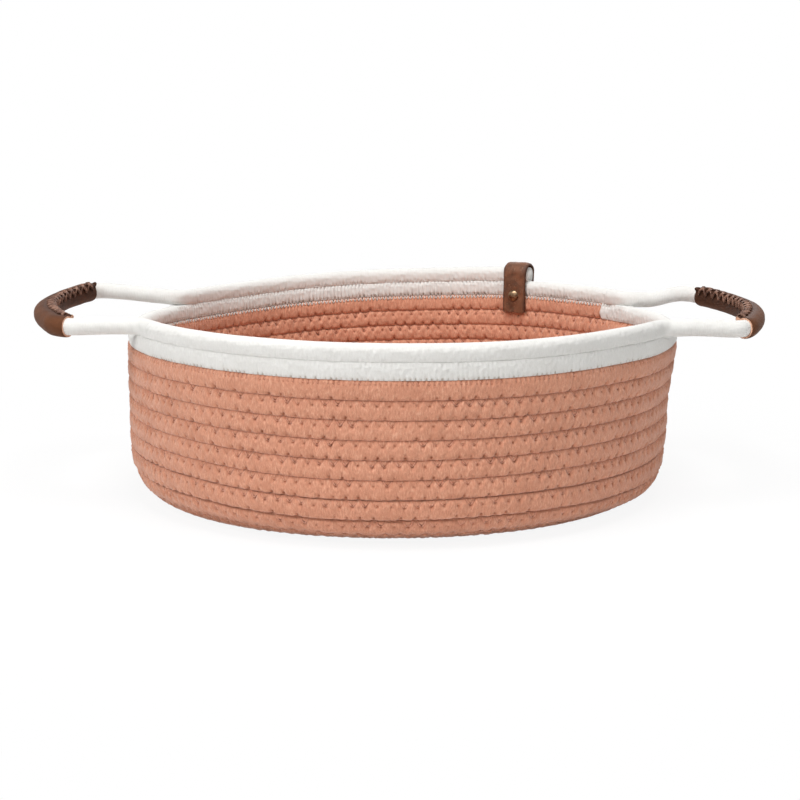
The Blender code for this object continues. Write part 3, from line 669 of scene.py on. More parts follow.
def thread_line(first, last, side, kind, raised=0.0):
    """The zigzag that sews a row to the row above it, seen below the seam and sunk in it."""
    pitch, lower_depth, upper_depth, deep, _ = SEAM_KINDS[kind]
    sunk = (STITCH_SINK + GROOVE_SINK) * deep * THREAD_SINK_SHARE - raised
    start, end = length_at(first) / pitch, length_at(last) / pitch
    numbers = np.arange(math.ceil(start), math.floor(end))
    here = (numbers - FACE_SHIFT * side + scatter(numbers, 1 + side) * HOLE_WANDER) * pitch
    depth = lower_depth * (1 + scatter(numbers, 5 + side) * DEPTH_WANDER)
    ease = pitch / 4 * 0.35
    rise = lower_depth / (lower_depth + upper_depth) * pitch / 2
    stops = (
        (here, depth, -HOLE_SINK * deep - sunk),
        (here + ease, depth * 0.8, -sunk),
        (here + rise * 0.75, depth * 0.30, -sunk),
        (here + rise, 0.0, UNDER_SEAM),
        (here + pitch - rise, 0.0, UNDER_SEAM),
        (here + pitch - rise * 0.75, depth * 0.30, -sunk),
        (here + pitch - ease, depth * 0.8, -sunk),
    )
    points = []
    for place, under, lift in stops:
        run = run_at(place)
        points.append(face_point(run, 1 - under / half_height(run), side, lift))
    return [np.stack(values, axis=1).reshape(-1, 3) for values in zip(*points)]


def make_threads(name, seams, material, radius=0.00030):
    """Sewing threads as one mesh; each seam is a line with the way that its face looks."""
    tubes = [tube(line, facing, radius, THREAD_SIDES) for line, facing in seams]
    around = np.arange(THREAD_SIDES) * radius
    places = [rope_place(lengths_along(line)[:, None], around).reshape(-1, 3) for line, _ in seams]
    points, faces = joined(tubes)
    return make_mesh(name, points, material, np.concatenate(places), faces=faces)


# The handles

def fillet(before, corner, after, radius):
    """Centre of the arc that rounds a corner in plan, its middle direction and half its turn."""
    inward = unit(before - corner)
    outward = unit(after - corner)
    half_turn = (math.pi - math.acos(inward @ outward)) / 2
    middle = unit(inward + outward)
    return corner + middle * radius / math.cos(half_turn), middle, half_turn


def filleted(corners, radii, steps=24):
    """Plan points along straight runs joined by arcs, one radius for each inner corner."""
    points = [corners[0]]
    for before, corner, after, radius in zip(corners, corners[1:], corners[2:], radii):
        centre, middle, half_turn = fillet(before, corner, after, radius)
        side = unit(unit(after - corner) - unit(before - corner))
        for sweep in np.linspace(-half_turn, half_turn, steps + 1):
            points.append(centre + (side * math.sin(sweep) - middle * math.cos(sweep)) * radius)
    points.append(corners[-1])
    return np.array(points)


def turn_out(angle, reach):
    """A rim root at an angle, and where the rope's line there meets a strand that far along Y."""
    root = WALL_RADIUS * np.array([math.cos(angle), math.sin(angle)])
    heading = np.array([-math.sin(angle), math.cos(angle)])
    return root, root + heading * (reach - root[1]) / heading[1]


class Handle:
    """One handle's side, fit and route, from its back root to its front root."""

    def __init__(self, name, side, back_run, front_run, fit):
        self.name = name
        self.side = side
        self.fit = fit
        back_root, back_turn = turn_out(HANDLE_ROOT_ANGLE, fit["back"][1])
        front_root, front_turn = turn_out(-HANDLE_ROOT_ANGLE, fit["front"][1])
        places = [fit[place] for place in ("back", "apex", "front")]
        corners = [back_root, back_turn, *places, front_turn, front_root]
        radii = [ROOT_TURN_RADIUS, *fit["radii"], ROOT_TURN_RADIUS]
        self.plan = filleted([np.array(corner) for corner in corners], radii)
        self.lengths = lengths_along(self.plan)
        self.length = self.lengths[-1]
        roots = rope_line(np.array([back_run, front_run]))[0][:, 2]
        knots = [self.nearest(place) for place in places]
        self.knots = [0.0, ROOT_RISE, *knots, self.length - ROOT_RISE, self.length]
        first, back, apex, front, last = fit["heights"]
        self.heights = [roots[0], first, back, apex, front, last, roots[1]]

    def nearest(self, place):
        """Distance along the route of its point nearest to a place in plan."""
        return self.lengths[np.argmin(np.linalg.norm(self.plan - place, axis=1))]

    def body(self):
        return f"{self.name}_handle"

    def points(self, distances):
        """The centre line at distances from the back root."""
        x = np.interp(distances, self.lengths, self.plan[:, 0]) * self.side
        y = np.interp(distances, self.lengths, self.plan[:, 1])
        knot = np.clip(np.searchsorted(self.knots, distances) - 1, 0, len(self.knots) - 2)
        start, end = np.take(self.knots, knot), np.take(self.knots, knot + 1)
        low, high = np.take(self.heights, knot), np.take(self.heights, knot + 1)
        return np.stack([x, y, low + (high - low) * eased((distances - start) / (end - start))], axis=-1)

    def frames(self, distances):
        """The centre line with the directions out of the loop and up."""
        centre = self.points(distances)
        ahead = self.points(np.minimum(distances + 0.0005, self.length))
        behind = self.points(np.maximum(distances - 0.0005, 0))
        along = unit(ahead - behind)
        out = unit(np.cross(Z_AXIS, along)) * self.side
        up = np.cross(along, out) * self.side
        return centre, out, up

    def grip_ends(self):
        apex = self.lengths[np.argmax(self.plan[:, 0])]
        before, after = self.fit["grip"]
        return apex - before, apex + after


def make_strand(handle, material):
    """The white rope of one handle, from root to root: flattened where it is sewn, then round."""
    distances = np.linspace(0, handle.length, int(handle.length / HANDLE_STEP) + 1)
    from_root = np.minimum(distances, handle.length - distances)
    free = eased((from_root - ROOT_FLAT) / ROOT_MORPH)[:, None]
    width = WHITE_HALF_WIDTH + (STRAND_RADIUS - WHITE_HALF_WIDTH) * free
    height = WHITE_HALF_HEIGHT + (STRAND_RADIUS - WHITE_HALF_HEIGHT) * free
    rounded = (width - CROWN * (1 - free), height)
    flat = (SEWN_EDGE[0] * WHITE_TIGHTNESS, SEWN_EDGE[1])
    sewn = [size + (round_size - size) * free for size, round_size in zip(flat, rounded)]
    share = FACE_SHARES[None, :]
    shape = section_width(share, width, height, sewn, rounded) + CROWN * share**2 * free
    lumps = waves(distances[:, None], share * height, 11, 0.006, 0.02) * LUMP_HEIGHT
    depth = np.maximum(shape + lumps * np.minimum(shape / THIN_ROPE, 1), 0)
    rings = section_rings(*handle.frames(distances), (depth, depth), share * height)
    angle = np.linspace(0, FULL_TURN, rings.shape[1], endpoint=False)
    place = rope_place(distances[:, None], angle * STRAND_RADIUS)
    faces = grid_faces(*rings.shape[:2])
    if handle.side < 0:
        faces = [face[::-1] for face in faces]
    return make_mesh(f"{handle.name}_strand", rings, material, place, faces=faces)


# Leather sleeves

SLEEVE_BORE = STRAND_RADIUS + 0.00005
SLEEVE_RADIUS = SLEEVE_BORE + LEATHER_THICKNESS
LIP_HEIGHT = 0.0024
LIP_HALF = 0.0012
LIP_SLIT = 0.0001
TIP_RADIUS = SLEEVE_RADIUS + LIP_HEIGHT
LIP_SCALLOP = 0.0003
LIP_WAVES = 0.00025
LIP_PINCH = 0.00015
LIP_SWAY = 0.0003
# Painted shade on the sleeve's lips
LIP_SHADE = 0.6
SLEEVE_STEP = 0.0008
SLEEVE_LUMPS = 0.00006
SLEEVE_END_PINCH = 0.00025
SLEEVE_END_LENGTH = 0.0015
LACE_PITCH = 0.0078
LACE_HALF_WIDTH = 0.0010
LACE_FLATNESS = 0.36
LACE_SIDES = 6
LACE_OVER = 0.00028
LACE_SHARES = np.array([0.0, 0.06, 0.2, 0.4, 0.6, 0.8, 0.94, 1.0])
LACE_RISES = (SLEEVE_RADIUS - 0.0006, SLEEVE_RADIUS + 0.0004, TIP_RADIUS - 0.0006, TIP_RADIUS + 0.0003)
LACE_ASIDES = (0.0030, 0.0025, LIP_HALF + 0.0003, 0.0004)
SEAM_TILT = math.radians(45.0)
# Painted shade near the sleeve's seam, for the side that faces into the loop: its strength, reach and
# ease in radians
SEAM_SHADE = 0.62
SEAM_SHADE_REACH = 1.7
SEAM_SHADE_EASE = 1.1


def sleeve_section():
    """The sleeve's closed outline, X towards the seam: skin with two lips, then the bore."""
    tip = TIP_RADIUS
    lip = [(tip - 0.00015, LIP_SLIT), (tip, 0.0004), (tip, 0.0008), (tip - 0.0003, 0.0011)]
    lip += [(tip - 0.0008, LIP_HALF), (tip - 0.0015, LIP_HALF), (tip - 0.0021, LIP_HALF + 0.0001)]
    lip += [(SLEEVE_RADIUS - 0.0001, LIP_HALF + 0.0004)]
    start = math.asin((LIP_HALF + 0.0011) / SLEEVE_RADIUS)
    slit = math.asin(LIP_SLIT / SLEEVE_BORE)
    skin, bore = [
        [(radius * math.cos(angle), radius * math.sin(angle)) for angle in np.linspace(*sweep)]
        for radius, sweep in (
            (SLEEVE_RADIUS, (start, FULL_TURN - start, 36)),
            (SLEEVE_BORE, (FULL_TURN - slit, slit, 28)),
        )
    ]
    mirrored = [(x, -y) for x, y in reversed(lip)]
    return np.array(lip + skin + mirrored + bore)


def sleeve_shape(along, first, last):
    """The outline at places along the sleeve, uneven as worn leather is, with angle and painted shade.
    """
    outline = sleeve_section()
    x, y = np.broadcast_to(outline.T[:, None], (2, len(along), len(outline))).copy()
    on_lip = eased((x - SLEEVE_RADIUS) / LIP_HEIGHT)
    scallop = np.cos(FULL_TURN * (along - first) / LACE_PITCH)
    x += on_lip * (LIP_SCALLOP * scallop + waves(along, 0, 21, 0.003, 0.01) * LIP_WAVES)
    y -= on_lip * np.sign(y) * LIP_PINCH * (1 + scallop)
    y += on_lip * waves(along, 0, 22, 0.006, 0.02) * LIP_SWAY
    radius = np.hypot(x, y)
    skin = (radius > SLEEVE_BORE + LEATHER_THICKNESS / 2) / np.maximum(radius, 0.001)
    angle = np.arctan2(y, x)
    lumps = waves(along, angle * SLEEVE_RADIUS, 23, 0.010, 0.03) * SLEEVE_LUMPS
    near_end = np.minimum(along - first, last - along)
    pinch = SLEEVE_END_PINCH * (1 - eased(near_end / SLEEVE_END_LENGTH))
    uneven = (1 + skin * lumps) * (1 - skin * pinch)
    # Painted shade: the lips and the skin near the seam are marked dark
    shade = SEAM_SHADE * eased((SEAM_SHADE_REACH - np.abs(angle)) / SEAM_SHADE_EASE)
    return x * uneven, y * uneven, angle, np.maximum(on_lip * LIP_SHADE, shade)


def seam_frame(handle, distances):
    """The handle's centre line, the way to the sleeve's seam and the way across that."""
    centre, out, up = handle.frames(distances)
    seam = -out * math.cos(SEAM_TILT) + up * math.sin(SEAM_TILT)
    return centre, seam, np.cross(unit(np.gradient(centre, axis=0)), seam)


def make_sleeve(handle, material, edge_material):
    """The leather sleeve round the handle's outer run, its cut ends pale."""
    first, last = handle.grip_ends()
    distances = np.linspace(first, last, int((last - first) / SLEEVE_STEP) + 1)
    along = distances[:, None]
    x, y, angle, dark = sleeve_shape(along, first, last)
    centre, seam, across = seam_frame(handle, distances)
    rings = centre[:, None] + seam[:, None] * x[..., None] + across[:, None] * y[..., None]
    place = rope_place(along, angle * SLEEVE_RADIUS)
    sleeve = make_mesh(f"{handle.name}_sleeve", rings, material, place, dark)
    pale_ends(sleeve, edge_material)
    return sleeve


def lace_stitch(handle, start, way):
    """One crossing of the lace over the lips as a tube, from one side to the other."""
    centre, seam, across = seam_frame(handle, start + LACE_SHARES * LACE_PITCH)
    rises = np.array(LACE_RISES + LACE_RISES[::-1])
    asides = way * np.array([*LACE_ASIDES, *(-aside for aside in LACE_ASIDES[::-1])])
    rises = rises + LACE_OVER * (way > 0) * np.sin(LACE_SHARES * math.pi)
    line = centre + seam * rises[:, None] + across * asides[:, None]
    facing = seam * (1 - np.abs(asides) / LIP_HALF)[:, None] * 2 + across * np.sign(asides)[:, None]
    return tube(line, facing, LACE_HALF_WIDTH, LACE_SIDES, flat=LACE_FLATNESS)


def make_lace(handle, material):
    """The lace that crosses over the sleeve's two lips from hole to hole."""
    first, last = handle.grip_ends()
    count = int((last - first - LACE_PITCH) / LACE_PITCH)
    start = (first + last - count * LACE_PITCH) / 2
    starts = start + np.arange(count) * LACE_PITCH
    points, faces = joined([lace_stitch(handle, place, way) for place in starts for way in (1, -1)])
    return make_mesh(f"{handle.name}_lace", points, material, points, faces=faces)


# Tab and rivet

TAB_INSIDE = CORAL_HALF_WIDTH + PART_GAP
TAB_MIDDLE = TAB_INSIDE + TAB_THICKNESS / 2
TAB_FLAP = TAB_FLAP_LENGTH - TAB_MIDDLE - TAB_THICKNESS / 2
TAB_ARC = math.pi * TAB_MIDDLE
TAB_STEPS = 150
TAB_BOW = 0.0004
TAB_WIDENING = 0.06
TAB_UNEVENNESS = 0.02
TAB_DENTS = 0.00012
TAB_ROLL = 0.0004
TAB_EDGE = 0.002
TAB_WORN_EDGE = 0.0022
DOME_SIDES = 48


def tab_frame(height):
    """Places the tab's own axes: X out from the basket, Y along the rim, Z up."""
    return Matrix.Rotation(TAB_ANGLE, 4, "Z") @ Matrix.Translation((WALL_RADIUS, 0, height))


def tab_heights():
    """Heights of the rivet's seam and of the top of the rope under the tab."""
    lower, upper = rope_line(np.array([rim_run(TAB_ANGLE, 0), rim_run(TAB_ANGLE, 1)]))[0][:, 2]
    return lower - WHITE_HALF_HEIGHT, upper + WHITE_HALF_HEIGHT


def transformed(points, matrix):
    """Points moved by a matrix."""
    matrix = np.array(matrix)
    return np.asarray(points) @ matrix[:3, :3].T + matrix[:3, 3]


def tab_line(distances):
    """The middle of the strap's thickness: up inside, over the rim and down outside."""
    fold = tab_heights()[1] + TAB_TOP_CLEARANCE - TAB_INSIDE
    sweep = np.clip((distances - TAB_FLAP) / TAB_MIDDLE, 0, math.pi)
    down = np.maximum(TAB_FLAP - distances, 0) + np.maximum(distances - TAB_FLAP - TAB_ARC, 0)
    bow = TAB_BOW * np.sin(math.pi * np.clip(distances / TAB_FLAP, 0, 1))
    x = -TAB_MIDDLE * np.cos(sweep) - bow
    return np.stack([x, 0 * x, fold + TAB_MIDDLE * np.sin(sweep) - down], axis=-1)


def tab_outline():
    """The strap's section: a flat oblong with softly rounded edges."""
    shares = np.linspace(-1, 1, 19)
    edge = np.sqrt(np.maximum(1 - np.abs(shares) ** 7, 0)) * TAB_THICKNESS / 2
    front = np.stack([shares * TAB_WIDTH / 2, edge], axis=-1)
    return np.concatenate([front, front[-2:0:-1] * (1, -1)])


def make_tab(material, edge_material):
    """The leather strap folded over the rim, its edges rolled and its ends worn."""
    total = 2 * TAB_FLAP + TAB_ARC
    distances = np.linspace(0, total, TAB_STEPS)
    centre = tab_line(distances)
    across = np.array([0.0, 1.0, 0.0])
    outward = np.cross(unit(np.gradient(centre, axis=0)), across)
    widen = 1 + TAB_WIDENING * np.sin(np.clip((distances - TAB_FLAP) / TAB_ARC, 0, 1) * math.pi)
    widen = widen * (1 + TAB_UNEVENNESS * waves(distances, 0, 31, 0.01, 0.03))
    outline = tab_outline()
    aside = outline[:, 0] * widen[:, None]
    thick = np.broadcast_to(outline[:, 1], aside.shape)
    from_edge = TAB_WIDTH / 2 - np.abs(aside)
    dents = waves(distances[:, None], aside, 32, 0.004, 0.016) * TAB_DENTS
    rolled = TAB_ROLL * (np.abs(aside) / (TAB_WIDTH / 2)) ** 4
    thick = thick + dents * eased(from_edge / TAB_EDGE) * np.sign(thick) - rolled
    rings = centre[:, None] + outward[:, None] * thick[..., None] + across * aside[..., None]
    ragged = waves(aside, 0, 33, 0.003, 0.012) * 0.0004 + 0.0006 * (aside / TAB_WIDTH) ** 2
    near_end = eased(1 - np.minimum(distances, total - distances) / 0.006)
    rings[..., 2] += ragged * near_end[:, None]
    rings = transformed(rings, tab_frame(0))
    worn = 0.7 * (1 - eased(from_edge / TAB_WORN_EDGE))
    tab = make_mesh("tab", rings, material, rope_place(distances[:, None], aside, thick), worn)
    pale_ends(tab, edge_material, smooth=True)
    return tab


def make_dome(name, direction, rise, material):
    """A rivet head turned from a profile: a rolled rim, a shallow step and a dome."""
    radius = RIVET_CAP_DIAMETER / 2
    seat = TAB_INSIDE + TAB_THICKNESS
    rim = [(0.00001, seat - 0.0003), (radius - 0.0004, seat - 0.0003), (radius, seat)]
    rim += [(radius, seat + 0.00035), (radius - 0.00015, seat + 0.00055)]
    sweep = np.linspace(0.12, QUARTER_TURN, 12)
    dome_reach = np.maximum((radius - 0.0002) * np.cos(sweep), 0.00001)
    dome = np.stack([dome_reach, seat + 0.0005 + (rise - 0.0005) * np.sin(sweep)], axis=-1)
    reach, height = np.concatenate([rim, dome]).T[..., None]
    turn = np.arange(DOME_SIDES) * FULL_TURN / DOME_SIDES
    matrix = tab_frame(tab_heights()[0]) @ Matrix.Rotation(direction * QUARTER_TURN, 4, "Y")
    return make_mesh(name, transformed(turned(reach, height, turn), matrix), material)


# Materials: each one's own colour, its lights, its darks, and its fourth colour: painted shade in the
# rope's pits and seams and on the sleeve, worn edges on the tab

CORAL = ((0.58, 0.256, 0.158), (0.73, 0.41, 0.28), (0.42, 0.162, 0.090), (0.34, 0.115, 0.055))
CORAL_THREAD = ((0.66, 0.31, 0.205), (0.84, 0.50, 0.38), (0.54, 0.23, 0.15), (0.4, 0.15, 0.1))
WHITE = ((0.668, 0.662, 0.638), (0.77, 0.762, 0.74), (0.60, 0.588, 0.56), (0.46, 0.42, 0.37))
BROWN = ((0.160, 0.062, 0.029), (0.40, 0.21, 0.12), (0.088, 0.034, 0.016), (0.045, 0.016, 0.009))
SLEEVE = ((0.112, 0.041, 0.017), (0.16, 0.066, 0.032), (0.088, 0.032, 0.013), (0.022, 0.010, 0.008))
LACE = ((0.24, 0.125, 0.085), (0.62, 0.42, 0.33), (0.10, 0.045, 0.029), (0.06, 0.026, 0.018))
CUT_LEATHER = ((0.72, 0.45, 0.33), (0.50, 0.26, 0.16))
BRONZE = ((0.34, 0.23, 0.14), (0.10, 0.06, 0.035))
STROKE_STRETCH = (1.0, 0.32, 1.0)


class Nodes:
    """Short calls that add nodes to a tree and join them."""

    def __init__(self, owner, keep=False):
        owner.use_nodes = True
        self.tree = owner.node_tree
        if not keep:
            self.tree.nodes.clear()

    def node(self, kind, inputs=(), **settings):
        """Adds a node, sets its properties, and fills its inputs with values or other sockets."""
        made = self.tree.nodes.new(kind)
        for key, value in settings.items():
            setattr(made, key, value)
        for socket, value in dict(inputs).items():
            if isinstance(value, bpy.types.NodeSocket):
                self.tree.links.new(value, made.inputs[socket])
            else:
                made.inputs[socket].default_value = value
        return made

    def math(self, operation, first, second=0.0):
        return self.node("ShaderNodeMath", {0: first, 1: second}, operation=operation).outputs[0]

    def spread(self, value, low, high, least=0.0):
        """The value spread smoothly from low and high to a least value and 1."""
        inputs = {"Value": value, "From Min": low, "From Max": high, "To Min": least}
        return self.node("ShaderNodeMapRange", inputs, interpolation_type="SMOOTHSTEP").outputs[0]

    def seen_by_eye(self):
        """1 for the camera's own rays, those of mirrors and those through glass, else 0."""
        path = self.node("ShaderNodeLightPath").outputs
        total = self.math("MAXIMUM", path["Is Camera Ray"], path["Is Glossy Ray"])
        return self.math("MAXIMUM", total, path["Is Transmission Ray"])

    def show(self, share, first, second, output):
        """Joins two shaders by a share to the tree's output."""
        mix = self.node("ShaderNodeMixShader", {0: share, 1: first.outputs[0], 2: second.outputs[0]})
        self.node(output, {0: mix.outputs[0]})


class Paint(Nodes):
    """A material with a Principled shader."""

    def __init__(self, name, roughness, **settings):
        self.material = bpy.data.materials.new(name)
        super().__init__(self.material, keep=True)
        self.shader = self.tree.nodes["Principled BSDF"]
        self.shader.inputs["Roughness"].default_value = roughness
        for socket, value in settings.items():
            self.shader.inputs[socket.replace("_", " ")].default_value = value

    def attribute(self, name, output):
        return self.node("ShaderNodeAttribute", attribute_name=name).outputs[output]

    def place(self, scale=(1.0, 1.0, 1.0), shear=0.0):
        """The rope place stretched by a scale along, round and through it."""
        inputs = {"Vector": self.attribute("rope", "Vector"), "Scale": scale}
        return self.node("ShaderNodeMapping", inputs | {"Rotation": (0, 0, shear)}).outputs[0]

    def noise(self, vector, scale, detail=2.0, roughness=0.5, distortion=0.0):
        inputs = {"Vector": vector, "Scale": scale, "Detail": detail}
        inputs |= {"Roughness": roughness, "Distortion": distortion}
        return self.node("ShaderNodeTexNoise", inputs).outputs[0]

    def mix(self, share, first, second, most=None):
        """The first colour, and the second by a share, which a most brings down."""
        if most:
            share = self.math("MULTIPLY", share, most)
        made = self.node("ShaderNodeMix", {0: share, 6: first, 7: second}, data_type="RGBA")
        return made.outputs[2]

    def finish(self, colour, height, distance):
        """Gives the shader its colour and a bump of a distance."""
        self.tree.links.new(colour, self.shader.inputs["Base Color"])
        bump = self.node("ShaderNodeBump", {"Height": height, "Distance": distance, "Strength": 1.0})
        self.tree.links.new(bump.outputs[0], self.shader.inputs["Normal"])
        return self.material

    def rough_between(self, value, smoothest, roughest):
        """Roughness that follows a value of 0 to 1."""
        inputs = {"Value": value, "To Min": smoothest, "To Max": roughest}
        made = self.node("ShaderNodeMapRange", inputs)
        self.tree.links.new(made.outputs[0], self.shader.inputs["Roughness"])


def opaque(colours):
    """The colours with an alpha of one."""
    return [(*colour, 1) for colour in colours]


def cotton(name, colours, strokes_shown, bump):
    """Fuzzy cotton: crossed short strokes over the rope, fine fuzz, uneven tone, and painted shade in
    needle holes, grooves and seams.
    """
    base, light, dark, painted_shade = opaque(colours)
    paint = Paint(name, 0.92, Sheen_Weight=0.25, Sheen_Roughness=0.45)
    rising = paint.noise(paint.place(STROKE_STRETCH, 0.55), 1250, 2.0, 0.6, 0.3)
    falling = paint.noise(paint.place(STROKE_STRETCH, -0.40), 1150, 2.0, 0.6, 0.3)
    strokes = paint.math("MAXIMUM", rising, falling)
    hollows = paint.math("MINIMUM", rising, falling)
    fuzz = paint.noise(paint.place(), 2200, 3.0, 0.6)
    tone = paint.noise(paint.place(), 45, 3.0, 0.55)
    colour = paint.mix(paint.spread(strokes, 0.54, 0.68), base, light, strokes_shown)
    colour = paint.mix(paint.spread(hollows, 0.45, 0.32), colour, dark, strokes_shown)
    colour = paint.mix(paint.spread(tone, 0.40, 0.68), colour, dark, 0.35)
    colour = paint.mix(paint.spread(fuzz, 0.52, 0.75), colour, light, 0.35)
    # Painted shade: the fourth colour is mixed in by the mesh's dark attribute, in holes, grooves and
    # seams
    colour = paint.mix(paint.spread(paint.attribute("dark", "Fac"), 0.10, 1.0), colour, painted_shade)
    height = paint.math("ADD", paint.math("ADD", strokes, hollows), paint.math("MULTIPLY", fuzz, 0.5))
    return paint.finish(colour, height, bump)


def leather(name, colours, roughness, shine):
    """Leather: pebbled grain, cloudy tone, and an edge colour where the mesh is marked dark: worn edges
    on the tab, painted shade on the sleeve.
    """
    base, light, dark, edge = opaque(colours)
    paint = Paint(name, roughness, Specular_IOR_Level=shine)
    cloud = paint.noise(paint.place(), 120, 4.0, 0.6)
    scuff = paint.noise(paint.place((0.5, 1.0, 1.0), 0.6), 900, 3.0, 0.65, 0.6)
    grain = paint.node("ShaderNodeTexVoronoi", {"Vector": paint.place(), "Scale": 1500.0}).outputs[0]
    colour = paint.mix(paint.spread(cloud, 0.38, 0.62), dark, base)
    colour = paint.mix(paint.spread(scuff, 0.55, 0.78), colour, light, 0.6)
    # The edge colour by the mesh's dark marks: real wear on the tab's edges, painted shade on the
    # sleeve's lips and seam side
    colour = paint.mix(paint.attribute("dark", "Fac"), colour, edge)
    paint.rough_between(scuff, roughness - 0.1, roughness + 0.2)
    height = paint.math("ADD", paint.math("MULTIPLY", grain, 0.7), paint.math("MULTIPLY", scuff, 0.6))
    return paint.finish(colour, height, 0.00012)


def raw_edge(name, colours):
    """Cut leather: pale, fibrous and matt."""
    base, dark = opaque(colours)
    paint = Paint(name, 0.8)
    fibres = paint.noise(paint.node("ShaderNodeTexCoord").outputs["Object"], 2500, 3.0, 0.6)
    return paint.finish(paint.mix(paint.spread(fibres, 0.35, 0.7), dark, base), fibres, 0.0001)


def bronze(name, colours):
    """Aged bronze: uneven tone and fine scratches."""
    base, dark = opaque(colours)
    paint = Paint(name, 0.3, Metallic=1.0)
    place = paint.node("ShaderNodeTexCoord").outputs["Object"]
    cloud = paint.noise(place, 500, 4.0, 0.6)
    scratches = paint.noise(place, 4000, 2.0, 0.5)
    paint.rough_between(cloud, 0.22, 0.45)
    return paint.finish(paint.mix(paint.spread(cloud, 0.35, 0.7), dark, base), scratches, 0.00003)


# The stage

CAMERA_PLACE = (0.0, -0.9707, 0.2325)
CAMERA_PITCH = 0.1862
CAMERA_ROLL = -0.0036
CAMERA_LENS = 71.8
FLOOR_COLOUR = (0.82, 0.82, 0.82, 1)
FLOOR_WHITENESS = 0.90
FLOOR_WHITENS = (0.20, 0.45)
WORLD_COLOUR = (1.0, 0.99, 0.97, 1)
WORLD_STRENGTH = 0.19

# Each lamp's name, place, target, size and power
LAMPS = (
    ("key", (-1.4, -1.05, 1.6), (0, 0, 0.05), 1.1, 23.5),
    ("fill", (1.3, -1.4, 1.4), (0, 0, 0.05), 1.1, 8.2),
    ("low", (-0.5, -1.45, 0.10), (0, 0, 0.03), 0.8, 4.5),
    ("inner", (0, -0.25, 1.05), (0, 0.1, 0.06), 0.5, 8.6),
    ("back", (0.5, 1.7, 1.2), (0, 0, 0.05), 1.1, 12),
)


def make_camera():
    """The camera where the photograph was taken from."""
    camera = bpy.data.cameras.new("camera")
    camera.lens = CAMERA_LENS
    camera.sensor_width = 36.0
    camera.clip_start = 0.01
    made = add_object("camera", camera)
    turned_down = Euler((QUARTER_TURN - CAMERA_PITCH, 0, 0)).to_matrix()
    turned_down = turned_down @ Matrix.Rotation(CAMERA_ROLL, 3, "Z")
    made.matrix_world = Matrix.Translation(CAMERA_PLACE) @ turned_down.to_4x4()
    bpy.context.scene.camera = made


def make_lamp(name, place, target, size, power):
    """A round soft lamp at a place, turned to its target."""
    light = bpy.data.lights.new(name, "AREA")
    light.shape = "DISK"
    light.size = size
    light.energy = power
    heading = (Vector(target) - Vector(place)).to_track_quat("-Z", "Y").to_matrix().to_4x4()
    add_object(name, light).matrix_world = Matrix.Translation(place) @ heading


def make_world():
    """Even soft light, seen as white."""
    world = bpy.data.worlds.new("studio")
    bpy.context.scene.world = world
    nodes = Nodes(world)
    light = nodes.node("ShaderNodeBackground", {"Color": WORLD_COLOUR, "Strength": WORLD_STRENGTH})
    white = nodes.node("ShaderNodeBackground", {"Color": (1, 1, 1, 1), "Strength": 1.0})
    nodes.show(nodes.seen_by_eye(), light, white, "ShaderNodeOutputWorld")


def make_floor():
    """A plain pale floor that keeps the object's soft shadow and whitens away from it."""
    place = (0, 0, -0.0002)
    bpy.ops.mesh.primitive_circle_add(vertices=96, radius=12.0, fill_type="NGON", location=place)
    floor = bpy.context.object
    floor.name = "floor"
    material = bpy.data.materials.new("floor")
    nodes = Nodes(material)
    place = nodes.node("ShaderNodeTexCoord").outputs["Object"]
    away = nodes.node("ShaderNodeVectorMath", {0: place}, operation="LENGTH").outputs["Value"]
    whiteness = nodes.spread(away, *FLOOR_WHITENS, FLOOR_WHITENESS)
    share = nodes.math("MULTIPLY", nodes.seen_by_eye(), whiteness)
    matt = nodes.node("ShaderNodeBsdfDiffuse", {"Color": FLOOR_COLOUR})
    white = nodes.node("ShaderNodeEmission", {"Strength": 1.0})
    nodes.show(share, matt, white, "ShaderNodeOutputMaterial")
    floor.data.materials.append(material)


def make_stage():
    """Camera, floor, soft light and the plain view."""
    make_camera()
    make_world()
    make_floor()
    for lamp in LAMPS:
        make_lamp(*lamp)
    bpy.context.scene.view_settings.view_transform = "Standard"


# The whole basket

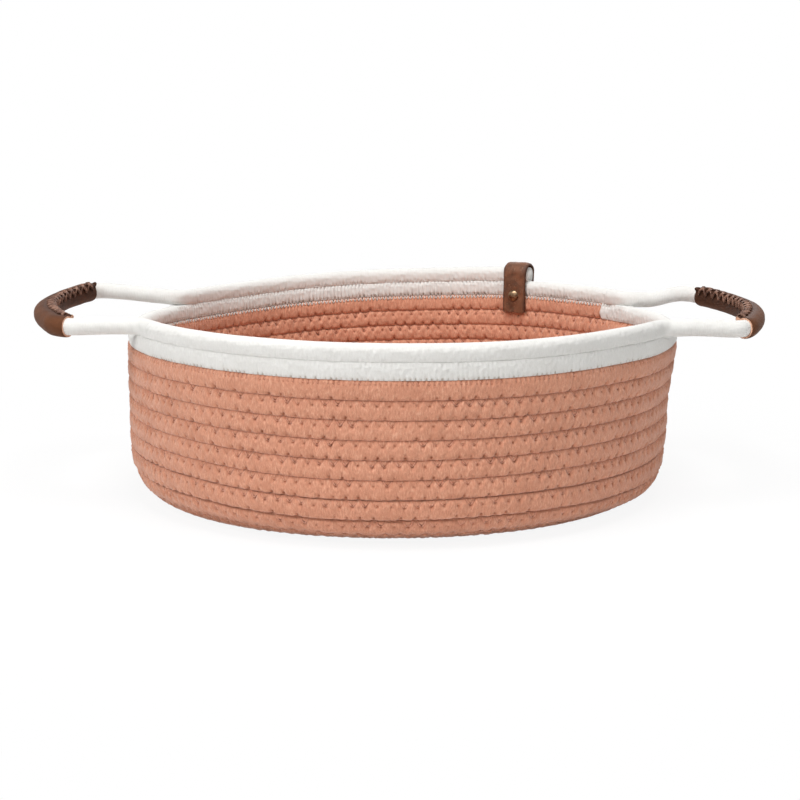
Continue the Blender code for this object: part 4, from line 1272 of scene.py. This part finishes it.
def make_rope_pieces():
    """Coral and white rope that is sewn down, with the sewing threads."""
    coral = cotton("coral_cotton", CORAL, 0.60, 0.00034)
    thread = cotton("coral_thread", CORAL_THREAD, 0.5, 0.0001)
    white = cotton("white_cotton", WHITE, 0.30, 0.00012)
    turn_up = run_down_to(FLAT_RADIUS, QUARTER_TURN / 16)
    base = make_row("base_rope", COIL_START, turn_up, BASE_STEP, coral)
    finish_piece(base, "basket", "coral_rope", "base_coil")
    finish_piece(make_heart(coral), "basket", "coral_rope")
    wall = make_row("wall_rope", turn_up, COLOUR_CHANGE_RUN, WALL_STEP, coral)
    finish_piece(wall, "basket", "coral_rope", "wall_coil")
    seams = [thread_line(COIL_START + FULL_TURN, -FULL_TURN, side, "coral") for side in (1, -1)]
    finish_piece(make_threads("coral_sewing", seams, thread), "basket", "coral_rope")
    seams = [thread_line(-FULL_TURN, COLOUR_CHANGE_RUN, 1, "change")]
    finish_piece(make_threads("change_sewing", seams, thread, 0.00022), "basket", "coral_rope")
    seams = [thread_line(EASE_ANGLE / 2 - FULL_TURN, COLOUR_CHANGE_RUN, -1, "change", 0.0004)]
    finish_piece(make_threads("inner_change_sewing", seams, white, 0.00028), "basket", "white_rope")
    stretches = (
        ("rim_row_below", COLOUR_CHANGE_RUN, RIGHT_BACK_RUN, "rim_rope_lower"),
        ("rim_row_front", RIGHT_FRONT_RUN, LEFT_FRONT_RUN, "rim_rope_front"),
        ("rim_row_back", LEFT_BACK_RUN, ROPE_END_RUN, "rim_rope_back"),
    )
    for name, first, last, node in stretches:
        finish_piece(make_row(name, first, last, WALL_STEP, white), "basket", "white_rope", node)
    return white


def make_handles(white, brown, pale):
    """Both handles: rope, sleeve and lace."""
    grip = leather("sleeve_leather", SLEEVE, 0.60, 0.12)
    lace = leather("lace_leather", LACE, 0.5, 0.3)
    for handle in (
        Handle("right", 1, RIGHT_BACK_RUN, RIGHT_FRONT_RUN, RIGHT_FIT),
        Handle("left", -1, LEFT_BACK_RUN, LEFT_FRONT_RUN, LEFT_FIT),
    ):
        strand = make_strand(handle, white)
        handle.body()
        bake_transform(strand)
        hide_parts(f"{handle.name}_handle_rope")
        sleeve = make_sleeve(handle, grip, pale)
        finish_piece(sleeve, handle.body(), "brown_leather", f"{handle.name}_grip")
        finish_piece(make_lace(handle, lace), handle.body(), "lace_leather", f"{handle.name}_lacing")


def main():
    make_stage()
    white = make_rope_pieces()
    brown = leather("brown_leather", BROWN, 0.52, 0.3)
    pale = raw_edge("cut_leather", CUT_LEATHER)
    make_handles(white, brown, pale)
    finish_piece(make_tab(brown, pale), "basket", "brown_leather", "rim_tab")
    metal = bronze("bronze", BRONZE)
    for name, direction, rise, node in (
        ("rivet_inside", -1, RIVET_CAP_HEIGHT, "rivet_cap"),
        ("rivet_outside", 1, RIVET_BACK_HEIGHT, "rivet_back"),
    ):
        finish_piece(make_dome(name, direction, rise, metal), "basket", "bronze", node)


main()
